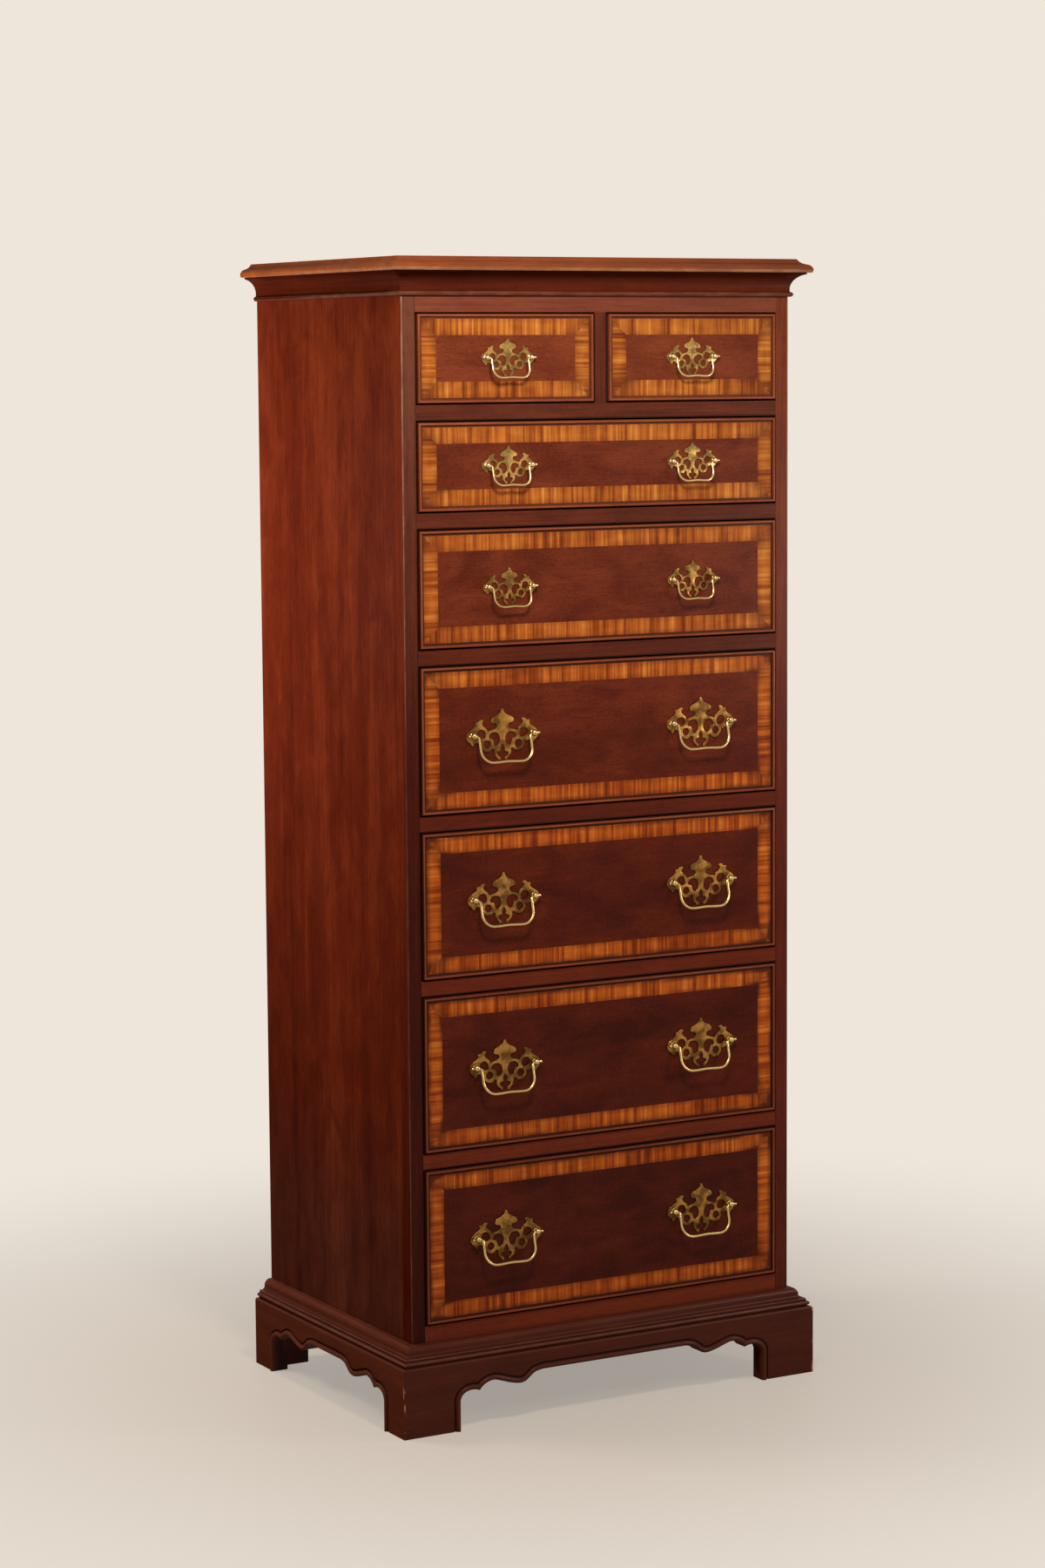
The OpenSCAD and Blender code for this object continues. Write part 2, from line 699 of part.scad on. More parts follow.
module bolt_holes(d) {
  for (b = [0:13])
    if (bail_drawer(b) == d)
      for (side = [-1, 1])
        translate([handle_x(b) - drawer_x[d] + side * post_x(d), 0, handle_z(d) - row_z[drawer_row(d)]])
          rod_y(bolt_r + 2 * joint_gap, face_y - 1, core_back_y + 1);
}
module drawer_box(d) {
  row = drawer_row(d);
  w = drawer_open_w[d] - 2 * front_gap;
  h = box_side_h(row);
  back_front_y = box_back_y - back_inset - box_t;
  place_drawer(d) translate([0, 0, run_gap]) color(poplar) {
    for (side = [-1, 1])
      difference() {
        union() {
          translate([side * (w - box_t) / 2, 0, 0]) block_x(box_t, core_back_y, box_back_y, 0, h);
          intersection() {
            side_tails(row, w);
            translate([side * w / 2, 0, 0]) block_x(w, core_y, core_back_y + 1, 0, h);
          }
        }
        drawer_bottom(w, joint_gap);
        box_back(w, h, back_front_y, joint_gap);
      }
    box_back(w, h, back_front_y, 0);
    drawer_bottom(w, 0);
  }
}
module box_back(w, h, y, play) {
  // The back board, or with some play the grooves that it is housed in
  block_x(w - 2 * box_t + 2 * groove_d + 2 * play, y - play, y + box_t + play,
    bottom_up + bottom_t + joint_gap - play, play > 0 ? h + 1 : h - back_drop);
}

// Pierced plate in real size for a large handle: right half of its outline from the top down
plate_half = [
  [0, 33.5], [1.6, 32.5], [2.3, 30.2], [4, 27.6], [7.2, 25.6], [10.4, 24.2], [13.6, 22.8],
  [16, 20.6], [16.8, 17.8], [15.6, 15.6], [12.6, 14.8], [10.2, 14.4], [8.6, 12.8], [8.2, 10.6],
  [9.6, 8.4], [12.6, 7], [16.5, 6], [20.6, 4.8], [22.3, 4.6], [22.9, 6.4], [24.6, 8.8], [27.4, 10.8],
  [29.6, 12.8], [30.4, 15], [29.6, 17.2], [28.2, 19.2], [30.6, 20.4], [33.4, 19.8], [35.2, 17.8],
  [37.4, 17.4], [40.4, 17], [39.8, 14], [40.6, 11.8], [43.4, 9.6], [47.4, 7.2], [50.8, 4.4],
  [52.8, 1.4], [53.4, -1], [52.6, -4.4], [50.2, -7.6], [47.6, -9.6], [45.4, -12.6], [43.4, -13.4],
  [42.2, -10.6], [40, -8.8], [37, -9.4], [34.6, -10.8], [32.4, -9.2], [32.4, -12], [31.8, -15],
  [30, -18.2], [27, -20.8], [23.2, -21.9], [19.2, -21.2], [16.6, -19.4], [14.6, -18.2], [12.4, -19.4],
  [12.6, -22.4], [11.8, -26], [9.6, -29.2], [7.4, -31.2], [7, -32.2], [5.6, -33], [3.9, -32.6],
  [3.3, -31], [3.9, -29.6], [5.8, -28.4], [7.6, -26.6], [8.2, -24.4], [7, -22.6], [5, -22.2],
  [3.4, -21.6], [2.8, -20], [3.4, -18], [2.6, -15.6], [1.4, -13.6], [0, -11.8]
];
// Its two shaped holes on the right; a round one lies below them
plate_scroll_hole = [
  [12.6, 3.3], [16.2, 2.6], [19.2, 0.4], [20.4, -2.4], [19.6, -4.6], [16.8, -5], [14.6, -6.6],
  [13.6, -9.4], [12.8, -12.6], [11, -14.4], [8.4, -14], [5.8, -11.8], [4.2, -8.4], [4, -4.4],
  [5.4, -0.4], [8.4, 2.4]
];
plate_wing_hole = [
  [24.9, -0.8], [25.2, 2.6], [27.4, 5.8], [30.8, 7.4], [34.2, 6.8], [37.2, 4.4], [38.4, 1.2],
  [36.8, -2.4], [33.2, -4.2], [29, -4.8], [26, -3.6]
];
function mirrored(p) = [for (q = p) [-q[0], q[1]]];
module plate_shape() {
  outline = concat(plate_half, reversed([for (i = [1:len(plate_half) - 2]) mirrored(plate_half)[i]]));
  difference() {
    polygon(outline);
    for (flip = [0, 1])
      mirror([flip, 0]) {
        polygon(plate_scroll_hole);
        polygon(plate_wing_hole);
        translate([23.4, -12.4]) circle(r = 5.2);
      }
  }
}
module handle_plate(d) {
  size = post_x(d) * 2 / plate_span;
  difference() {
    on_face(face_y - plate_t, face_y) scale([size, size]) plate_shape();
    for (side = [-1, 1])
      translate([side * post_x(d), 0, 0]) rod_y(bolt_r + joint_gap, face_y - plate_t - 1, face_y + 1);
  }
}
module handle_post(d) {
  // Bolt, collar and ball head in one turned piece, with the bail's cross hole
  r = ball_r(d);
  axis_y = face_y - pivot_out;
  collar_y = face_y - plate_t - joint_gap;
  bolt_end = core_back_y + nut_t + bolt_over;
  difference() {
    union() {
      rod_y(bolt_r, axis_y + r / 2, bolt_end);
      rod_y(r * collar_size, axis_y + r * 0.8, collar_y);
      translate([0, axis_y, 0]) rotate([90, 0, 0]) sphere(r = r);
    }
    translate([-r - 1, axis_y, 0]) rotate([0, 90, 0]) cylinder(r = pin_r + pin_gap, h = 2 * r + 2);
  }
}
module rod_y(r, y0, y1) {
  translate([0, y1, 0]) rotate([90, 0, 0]) cylinder(r = r, h = y1 - y0);
}
module nut() {
  difference() {
    translate([0, core_back_y + nut_t, 0]) rotate([90, 0, 0])
      cylinder(r = nut_flats / 2 / cos(30), h = nut_t, $fn = 6);
    rod_y(bolt_r + joint_gap, core_back_y - 1, core_back_y + nut_t + 1);
  }
}
module drawer_hardware(d) {
  for (b = [0:13])
    if (bail_drawer(b) == d)
      color(brass) translate([handle_x(b), 0, handle_z(d)]) {
        handle_plate(d);
        for (side = [-1, 1])
          translate([side * post_x(d), 0, 0]) {
            handle_post(d);
            nut();
          }
      }
}
module bail(b) {
  // One bent rod: pins and ball tips, straight legs, round corners and the grip
  d = bail_drawer(b);
  r = rod_r(d);
  x = leg_x(d);
  corner = corner_r(d);
  tip_x = post_x(d) + ball_r(d) + rod_clear + tip_r(d);
  color(brass)
    translate([handle_x(b), face_y - pivot_out, handle_z(d)]) rotate([-bail_lean, 0, 0]) {
      for (flip = [0, 1])
        mirror([flip, 0, 0]) {
          translate([x, 0, 0]) rotate([0, 90, 0]) cylinder(r = pin_r, h = tip_x - x);
          translate([x, 0, 0]) sphere(r = r);
          translate([tip_x, 0, 0]) sphere(r = tip_r(d));
          translate([x, 0, -drop(d) + corner]) cylinder(r = r, h = drop(d) - corner);
          translate([x - corner, 0, -drop(d) + corner]) rotate([90, 0, 0]) rotate_extrude(angle = -90)
            translate([corner, 0]) circle(r = r);
        }
      translate([-(x - corner), 0, -drop(d)]) rotate([0, 90, 0]) cylinder(r = r, h = 2 * (x - corner));
    }
}

left_side();
right_side();
left_stile();
right_stile();
back_panel();
top_board();
cornice_moulding();
top_frame();
centre_divider();
for (row = [0:5])
  dust_frame(row);
bottom_frame();
base_moulding();
front_apron();
left_apron();
right_apron();
base_deck();
rear_base();
for (d = [0:7])
  drawer_front(d);
for (d = [0:7])
  drawer_box(d);
for (d = [0:7])
  drawer_hardware(d);
for (b = [0:13])
  bail(b);
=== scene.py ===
"""Looks of a tall narrow chest of drawers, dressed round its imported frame.

All lengths are in metres. +Z is up, the drawer fronts face -Y and the floor is at z = 0.
"""

from __future__ import annotations

import logging
import math
from collections.abc import Callable, Sequence
from dataclasses import dataclass, field, replace
from enum import Enum

import bmesh
import bpy
import numpy as np
from mathutils import Matrix, Vector

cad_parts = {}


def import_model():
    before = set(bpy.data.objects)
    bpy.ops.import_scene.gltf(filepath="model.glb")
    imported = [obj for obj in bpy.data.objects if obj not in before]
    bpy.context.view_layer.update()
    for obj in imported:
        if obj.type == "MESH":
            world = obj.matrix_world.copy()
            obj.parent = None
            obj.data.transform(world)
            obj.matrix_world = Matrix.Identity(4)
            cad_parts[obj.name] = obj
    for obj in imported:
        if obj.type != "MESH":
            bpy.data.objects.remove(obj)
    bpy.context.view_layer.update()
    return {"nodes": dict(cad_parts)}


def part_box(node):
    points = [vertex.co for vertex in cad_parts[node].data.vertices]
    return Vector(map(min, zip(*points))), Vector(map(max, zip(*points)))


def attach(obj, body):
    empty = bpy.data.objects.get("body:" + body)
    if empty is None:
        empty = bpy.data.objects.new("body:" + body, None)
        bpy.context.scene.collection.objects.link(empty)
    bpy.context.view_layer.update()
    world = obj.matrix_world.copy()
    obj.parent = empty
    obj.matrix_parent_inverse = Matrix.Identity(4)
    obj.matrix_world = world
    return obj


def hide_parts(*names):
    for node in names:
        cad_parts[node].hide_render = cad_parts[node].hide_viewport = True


LOG = logging.getLogger("chest")
GRAIN_MAP = "grain"
# Carried at points: rubbed edges with a painted highlight, up to 1, and dark polish with
# painted shade in hollows and gaps, down to -1
WEAR_AND_PAINTED_LIGHT = "wear_and_painted_light"
CORNER = "corner"
MM = 0.001

Rgb = tuple[float, float, float]
Place = Callable[[np.ndarray], np.ndarray]


class Grain(Enum):
    """Which way the grain of a board runs, or that its own map carries it."""

    ALONG_X = (0, 1, 2)
    ALONG_Y = (1, 0, 2)
    ALONG_Z = (2, 0, 1)
    BY_MAP = ()


class Side(Enum):
    """The two sides of the chest, as signs of x."""

    LEFT = -1
    RIGHT = 1


@dataclass(frozen=True)
class Pattern:
    """A smooth random pattern, so many repeats a metre along and across the grain.

    The shift keeps two patterns apart, and the twist bends one into itself.
    """

    along: float
    across: float
    shift: float
    detail: float
    twist: float = 0.0


# Shader building


class Value:
    """A number socket of a shader, so that sums on it read as Python."""

    def __init__(self, shader: NodeTree, socket: bpy.types.NodeSocket) -> None:
        """Wraps one output socket of the shader's tree."""
        self.shader = shader
        self.socket = socket

    def math(self, operation: str, *operands: Value | float) -> Value:
        """Adds a Math node.

        Args:
            operation: the node's operation.
            operands: its inputs in order, as values or plain numbers.

        Returns:
            The node's result.
        """
        inputs = dict(enumerate(operands))
        return self.shader.value("ShaderNodeMath", {"operation": operation}, inputs)

    def __add__(self, other: Value | float) -> Value:
        """Returns self + other."""
        return self.math("ADD", self, other)

    def __radd__(self, other: float) -> Value:
        """Returns other + self."""
        return self.math("ADD", other, self)

    def __sub__(self, other: Value | float) -> Value:
        """Returns self - other."""
        return self.math("SUBTRACT", self, other)

    def __rsub__(self, other: float) -> Value:
        """Returns other - self."""
        return self.math("SUBTRACT", other, self)

    def __mul__(self, other: Value | float) -> Value:
        """Returns self * other."""
        return self.math("MULTIPLY", self, other)

    def __rmul__(self, other: float) -> Value:
        """Returns other * self."""
        return self.math("MULTIPLY", other, self)

    def over(self, limit: Value | float) -> Value:
        """Returns 1 where self is greater than the limit, and 0 elsewhere."""
        return self.math("GREATER_THAN", self, limit)

    def absolute(self) -> Value:
        """Returns self without its sign."""
        return self.math("ABSOLUTE", self)

    def ramp(self, low: float, high: float) -> Value:
        """Makes a smooth step.

        Args:
            low: where the step leaves 0.
            high: where it reaches 1; it may lie below low.

        Returns:
            The step at self.
        """
        if low > high:
            return 1.0 - self.ramp(high, low)
        settings = {"interpolation_type": "SMOOTHSTEP", "clamp": True}
        sockets = {0: self, 1: low, 2: high}
        return self.shader.value("ShaderNodeMapRange", settings, sockets)


class NodeTree:
    """Adds nodes to a material's or the world's tree."""

    def __init__(self, tree: bpy.types.NodeTree) -> None:
        """Empties the tree and takes it over."""
        self.tree = tree
        self.tree.nodes.clear()

    def node(
        self, kind: str, settings: dict[str, object], sockets: dict[str | int, object]
    ) -> bpy.types.Node:
        """Adds one node.

        Args:
            kind: the node's type.
            settings: its properties, set before its sockets; "stops" fills a colour ramp.
            sockets: values or links of its inputs, by name or index.

        Returns:
            The node.
        """
        node = self.tree.nodes.new(kind)
        for key, setting in settings.items():
            if key == "stops":
                self._fill_ramp(node.color_ramp, setting)
            else:
                setattr(node, key, setting)
        for key, value in sockets.items():
            target = node.inputs[key]
            if isinstance(value, Value):
                value = value.socket
            if isinstance(value, bpy.types.NodeSocket):
                self.tree.links.new(value, target)
            elif isinstance(value, tuple) and target.type == "RGBA":
                target.default_value = (*value, 1.0)
            else:
                target.default_value = value
        return node

    @staticmethod
    def _fill_ramp(
        ramp: bpy.types.ColorRamp, stops: Sequence[tuple[float, Rgb]]
    ) -> None:
        """Gives a colour ramp its stops.

        Args:
            ramp: the ramp.
            stops: places between 0 and 1, in order, with their colours.
        """
        while len(ramp.elements) < len(stops):
            ramp.elements.new(1.0)
        for element, (place, colour) in zip(ramp.elements, stops):
            element.position = place
            element.color = (*colour, 1.0)

    def value(
        self, kind: str, settings: dict[str, object], sockets: dict[str | int, object]
    ) -> Value:
        """Returns the first output of a new node as a value."""
        return Value(self, self.node(kind, settings, sockets).outputs[0])

    def seen_directly(self) -> Value:
        """Returns 1 for rays of the camera, of reflections and through glass."""
        rays = self.node("ShaderNodeLightPath", {}, {}).outputs
        kinds = ("Is Camera Ray", "Is Glossy Ray", "Is Transmission Ray")
        camera, glossy, clear = (Value(self, rays[kind]) for kind in kinds)
        return camera + glossy + clear


class Shader(NodeTree):
    """Builds one material round a Principled surface."""

    def __init__(self, name: str, gloss: dict[str, float | Rgb] | None = None) -> None:
        """Starts a material.

        Args:
            name: the material's name.
            gloss: values that are the same all over the surface, by socket name.
        """
        self.material = bpy.data.materials.new(name)
        self.material.use_nodes = True
        super().__init__(self.material.node_tree)
        self.surface = self.node("ShaderNodeBsdfPrincipled", {}, gloss or {})
        self.output = self.node(
            "ShaderNodeOutputMaterial", {}, {"Surface": self.surface.outputs[0]}
        )

    def grain_space(self, grain: Grain) -> bpy.types.NodeSocket:
        """Turns the surface's coordinates to the grain.

        Args:
            grain: which way the grain runs.

        Returns:
            A point whose first coordinate runs along the grain, in metres.
        """
        if grain is Grain.BY_MAP:
            return self.node("ShaderNodeUVMap", {"uv_map": GRAIN_MAP}, {}).outputs[0]
        point = self.node("ShaderNodeTexCoord", {}, {}).outputs["Object"]
        parts = self.node("ShaderNodeSeparateXYZ", {}, {0: point}).outputs
        turned = {place: parts[axis] for place, axis in enumerate(grain.value)}
        return self.node("ShaderNodeCombineXYZ", {}, turned).outputs[0]

    def noise(self, space: bpy.types.NodeSocket, pattern: Pattern) -> Value:
        """Draws a pattern.

        Args:
            space: the point in grain space.
            pattern: the pattern.

        Returns:
            Its value at the point, from 0 to 1.
        """
        scale = (pattern.along, pattern.across, pattern.across)
        inputs = {0: space, 1: scale, 2: (pattern.shift,) * 3}
        scaled = self.node("ShaderNodeVectorMath", {"operation": "MULTIPLY_ADD"}, inputs)
        sockets = {"Vector": scaled.outputs[0], "Scale": 1.0}
        sockets |= {"Detail": pattern.detail, "Distortion": pattern.twist}
        return self.value("ShaderNodeTexNoise", {}, sockets)

    def varied(
        self,
        tone: Value,
        space: bpy.types.NodeSocket,
        shares: Sequence[tuple[float, Pattern]],
    ) -> Value:
        """Adds share * (pattern - 1/2) to a tone for each share and pattern.

        Args:
            tone: the tone without them.
            space: the point in grain space.
            shares: how much each pattern adds, and the pattern.

        Returns:
            The varied tone.
        """
        for share, pattern in shares:
            tone = tone + share * (self.noise(space, pattern) - 0.5)
        return tone

    def attribute(self, name: str) -> Value:
        """Returns a number that the mesh carries at its points, or 0 without it."""
        node = self.node("ShaderNodeAttribute", {"attribute_name": name}, {})
        return Value(self, node.outputs["Fac"])

    def part(self, point: bpy.types.NodeSocket, axis: int) -> Value:
        """Returns one coordinate of a point."""
        return Value(self, self.node("ShaderNodeSeparateXYZ", {}, {0: point}).outputs[axis])

    def coordinate(self, axis: int) -> Value:
        """Returns one object coordinate, in metres."""
        coordinates = self.node("ShaderNodeTexCoord", {}, {})
        return self.part(coordinates.outputs["Object"], axis)

    def sideways(self) -> Value:
        """Returns 1 on faces towards the left or right and 0 on those towards the front."""
        coordinates = self.node("ShaderNodeTexCoord", {}, {})
        return self.part(coordinates.outputs["Normal"], 0).absolute()

    def tint(
        self, amount: Value, stops: Sequence[tuple[float, Rgb]]
    ) -> bpy.types.NodeSocket:
        """Returns the colour that a ramp gives an amount."""
        node = self.node("ShaderNodeValToRGB", {"stops": stops}, {0: amount})
        return node.outputs[0]

    def mixed(
        self, amount: Value | float, first: object, second: object, blend: str = "MIX"
    ) -> bpy.types.NodeSocket:
        """Mixes two colours.

        Args:
            amount: 0 for the first, 1 for the second.
            first: a colour or a colour socket.
            second: the same.
            blend: how the second is laid over the first.

        Returns:
            The mixed colour.
        """
        settings = {"data_type": "RGBA", "blend_type": blend}
        return self.node(
            "ShaderNodeMix", settings, {0: amount, 6: first, 7: second}
        ).outputs[2]

    def finish(
        self,
        colour: bpy.types.NodeSocket,
        rough: Value | float,
        relief: Value | None = None,
        depth: float = 0.0,
        coat: Value | None = None,
    ) -> bpy.types.Material:
        """Joins what varies to the surface.

        Args:
            colour: the base colour.
            rough: the roughness.
            relief: the height of fine relief, between 0 and 1.
            depth: the real depth of that relief.
            coat: the weight of the lacquer, where it varies.

        Returns:
            The finished material.
        """
        links = self.tree.links
        links.new(colour, self.surface.inputs["Base Color"])
        if isinstance(rough, Value):
            links.new(rough.socket, self.surface.inputs["Roughness"])
        else:
            self.surface.inputs["Roughness"].default_value = rough
        if coat is not None:
            links.new(coat.socket, self.surface.inputs["Coat Weight"])
        if relief is not None:
            sockets = {"Height": relief, "Distance": depth, "Strength": 1.0}
            bump = self.node("ShaderNodeBump", {}, sockets)
            links.new(bump.outputs[0], self.surface.inputs["Normal"])
        return self.material


# Finishes

# Patterns of the mahogany's own colour, from broad to fine
CLOUD = Pattern(1.1, 9.0, 3.0, 3.0, 0.8)
RIBBON = Pattern(1.6, 46.0, 7.0, 2.0, 0.3)
MOTTLE = Pattern(16.0, 34.0, 11.0, 4.0, 0.5)
SPECKLE = Pattern(230.0, 330.0, 13.0, 2.0)
STREAK = Pattern(9.0, 300.0, 1.0, 3.0)
PORE = Pattern(60.0, 1000.0, 5.0, 1.0)
# Patterns of handling: rubbed edges with their painted highlight, nicked spots and smeared
# polish
RUB = Pattern(30.0, 90.0, 9.0, 3.0)
NICK = Pattern(60.0, 60.0, 17.0, 2.0)
SMEAR = Pattern(9.0, 14.0, 2.0, 3.0)
# Patterns of the banding
BAND_DRIFT = Pattern(6.0, 1.5, 4.0, 1.0)
BAND_BROAD = Pattern(45.0, 3.0, 2.0, 1.0)
BAND_STRIPE = Pattern(125.0, 4.0, 5.0, 2.0)
BAND_HAIR = Pattern(340.0, 9.0, 8.0, 1.0)
BAND_BLOTCH = Pattern(24.0, 60.0, 6.0, 3.0)
# Patterns of plain wood and of brass
RING = Pattern(0.9, 24.0, 6.0, 2.0, 1.2)
PLAIN_STREAK = Pattern(9.0, 330.0, 2.0, 3.0)
TARNISH = Pattern(70.0, 70.0, 3.0, 3.0, 0.4)
SPECK = Pattern(500.0, 500.0, 1.0, 2.0)

# The values of a pattern between which it goes from nothing to full strength
PORE_STEP = (0.56, 0.70)
RUB_STEP = (0.42, 0.62)
NICK_STEP = (0.54, 0.63)
BURN_STEP = (0.26, 0.62)

# Heights above the floor between which painted light and shade, hands and dirt change the
# colour
LIT_BY_HEIGHT_PART = (0.1, 1.5)
UPPER_PART = (0.7, 1.5)
LOWEST_PART = (0.45, 0.15)
RUBBED_AND_LIT_PART = (0.8, 1.4)
DIRTY_AND_SHADED_PART = (1.45, 0.9)
BANDING_LIGHT_PART = (0.3, 1.4)
BURNT_PART = (1.35, 0.5)
SHADED_BRASS_PART = (1.30, 1.00)

PORE_ROUGH = 0.08
PORE_DEPTH = 0.04 * MM
HAIR_DEPTH = 0.02 * MM
STREAK_DEPTH = 0.06 * MM


def lacquer(coat: float, rough: float) -> dict[str, float | Rgb]:
    """Returns the settings of a lacquered surface, the same all over."""
    return {"Specular IOR Level": 0.0, "Coat Weight": coat, "Coat Roughness": rough}


@dataclass(frozen=True)
class Mahogany:
    """Stained and lacquered mahogany with fine pores and a soft ribbon figure.

    The wear_and_painted_light that a mesh carries goes from -1, where dark polish and
    painted shade lie in hollows and gaps, to 1 on a rubbed edge, which also carries a
    painted highlight. light_by_height paints the upper part of the chest lighter than the
    lower one, as light falling from above. The colours front, high and low are painted
    light and shade: they tint faces to the front, their upper part with a painted sheen,
    and the foot of the chest, and corner is the base's front corner in plan, where nicked
    spots and a painted highlight show. How much an edge is rubbed and painted bright low
    down and between its rubbed patches is rub_and_highlight_below and rub_between, and
    light_by_height to streak say how much height and each pattern change the tone.
    """

    name: str
    dark: Rgb = (0.046, 0.0055, 0.0022)
    body: Rgb = (0.105, 0.0135, 0.0045)
    light: Rgb = (0.200, 0.0320, 0.0095)
    # Colour of rubbed wood, which also paints the highlight along edges
    worn_and_painted_light: Rgb = (0.46, 0.22, 0.13)
    # Colour of dark polish in hollows, which also paints their shade
    grime_and_shade: Rgb = (0.010, 0.0040, 0.0028)
    # Painted light and shade: tints of faces to the front, of their upper part with a painted
    # sheen, and of the foot
    front: Rgb = (1.0, 1.0, 1.0)
    high: Rgb = (1.0, 1.0, 1.0)
    low: Rgb = (1.0, 1.0, 1.0)
    # How much rubbed edges are lightened and painted bright low down
    rub_and_highlight_below: float = 0.2
    rub_between: float = 0.45
    # How dark hollows are painted as dark polish and shade, and how much more low down
    grime_and_shade_high: float = 0.4
    grime_and_shade_more: float = 0.35
    corner: tuple[float, float] = (9.0, -9.0)
    # How much height paints the tone lighter high up, as light falls from above
    light_by_height: float = 0.24
    figure: float = 0.4
    ribbon: float = 0.2
    mottle: float = 0.25
    speckle: float = 0.12
    streak: float = 0.4
    pore_share: float = 0.45
    smear: float = 0.10
    rough: float = 0.42
    coat: float = 0.20
    coat_rough: float = 0.30
    side_dullness: float = 0.95
    edge_gloss: float = 0.2

    @property
    def gloss(self) -> dict[str, float | Rgb]:
        """The lacquer's own settings."""
        return lacquer(self.coat, self.coat_rough)

    def colour(
        self, shader: Shader, space: bpy.types.NodeSocket
    ) -> tuple[bpy.types.NodeSocket, Value]:
        """Works out the stained colour.

        The tone is 1/2, painted lighter high up and darker low down as light from above
        falls, varied by the patterns, and picks a colour between dark, body and light; faces
        to the front, their upper part and the foot are then tinted as painted light and shade.

        Args:
            shader: the shader it goes into.
            space: the point in grain space.

        Returns:
            The colour, and the pores as 1 in a pore and 0 on the wood.
        """
        pores = shader.noise(space, PORE).ramp(*PORE_STEP)
        height = shader.coordinate(2)
        shares = (
            (self.figure, CLOUD),
            (self.ribbon, RIBBON),
            (self.mottle, MOTTLE),
            (self.speckle, SPECKLE),
            (self.streak, STREAK),
        )
        # Painted light: the tone grows lighter high up and darker low down, as light falls
        # from above
        lit_by_height = 0.5 + self.light_by_height * (height.ramp(*LIT_BY_HEIGHT_PART) - 0.5)
        tone = shader.varied(lit_by_height, space, shares)
        stops = ((0.22, self.dark), (0.5, self.body), (0.82, self.light))
        stained = shader.tint(tone, stops)
        stained = shader.mixed(pores * self.pore_share, stained, self.dark)
        # Painted light and shade: faces to the front, their upper part (a painted sheen) and
        # the foot of the chest are tinted
        facing = 1.0 - shader.sideways()
        stained = shader.mixed(facing, stained, self.front, "MULTIPLY")
        upper = facing * height.ramp(*UPPER_PART)
        stained = shader.mixed(upper, stained, self.high, "MULTIPLY")
        lowest = height.ramp(*LOWEST_PART)
        return shader.mixed(lowest, stained, self.low, "MULTIPLY"), pores

    def material(self, grain: Grain) -> bpy.types.Material:
        """Makes the material for pieces whose grain runs one way.

        Rubbed edges show lighter wood in patches, which also paints a highlight and so is
        brighter high up, and the base's corner is nicked and painted bright. Dark polish and
        painted shade lie in the recesses and gaps, most of it low down.

        Args:
            grain: that way.

        Returns:
            The material.
        """
        shader = Shader(f"{self.name}_{grain.name.lower()}", self.gloss)
        space = shader.grain_space(grain)
        colour, pores = self.colour(shader, space)
        wear_and_painted_light = shader.attribute(WEAR_AND_PAINTED_LIGHT)
        height = shader.coordinate(2)
        # Painted highlight: rubbed edges take a lighter colour in patches, brighter high up
        # where light falls
        patches = shader.noise(space, RUB).ramp(*RUB_STEP)
        patchy = self.rub_between + (1.0 - self.rub_between) * patches
        handled_and_lit = self.rub_and_highlight_below + (1.0 - self.rub_and_highlight_below) * height.ramp(*RUBBED_AND_LIT_PART)
        bare_and_highlight = wear_and_painted_light.ramp(0.15, 1.0) * patchy * handled_and_lit
        # Nicks on the base's front corner, light in colour, which also paint that arris's
        # highlight
        from_corner = self.corner[0] - shader.coordinate(0).absolute()
        from_corner = from_corner + (shader.coordinate(1) - self.corner[1])
        nicks_and_highlight = shader.noise(space, NICK).ramp(*NICK_STEP)
        bare_and_highlight = bare_and_highlight + from_corner.ramp(3.0 * MM, 0.8 * MM) * nicks_and_highlight
        colour = shader.mixed(bare_and_highlight, colour, self.worn_and_painted_light)
        # Painted shade in hollows, quirks and gaps, together with dark polish, deeper low down
        gathered_and_shaded = self.grime_and_shade_high + self.grime_and_shade_more * height.ramp(*DIRTY_AND_SHADED_PART)
        colour = shader.mixed(wear_and_painted_light.ramp(-0.1, -0.9) * gathered_and_shaded, colour, self.grime_and_shade)
        smear = shader.noise(space, SMEAR) - 0.5
        rough = self.rough + self.smear * smear + PORE_ROUGH * pores
        polish = self.coat * (1.0 - self.side_dullness * shader.sideways())
        polish = polish + self.edge_gloss * wear_and_painted_light.ramp(0.0, 1.0)
        return shader.finish(colour, rough, 1.0 - pores, PORE_DEPTH, polish)


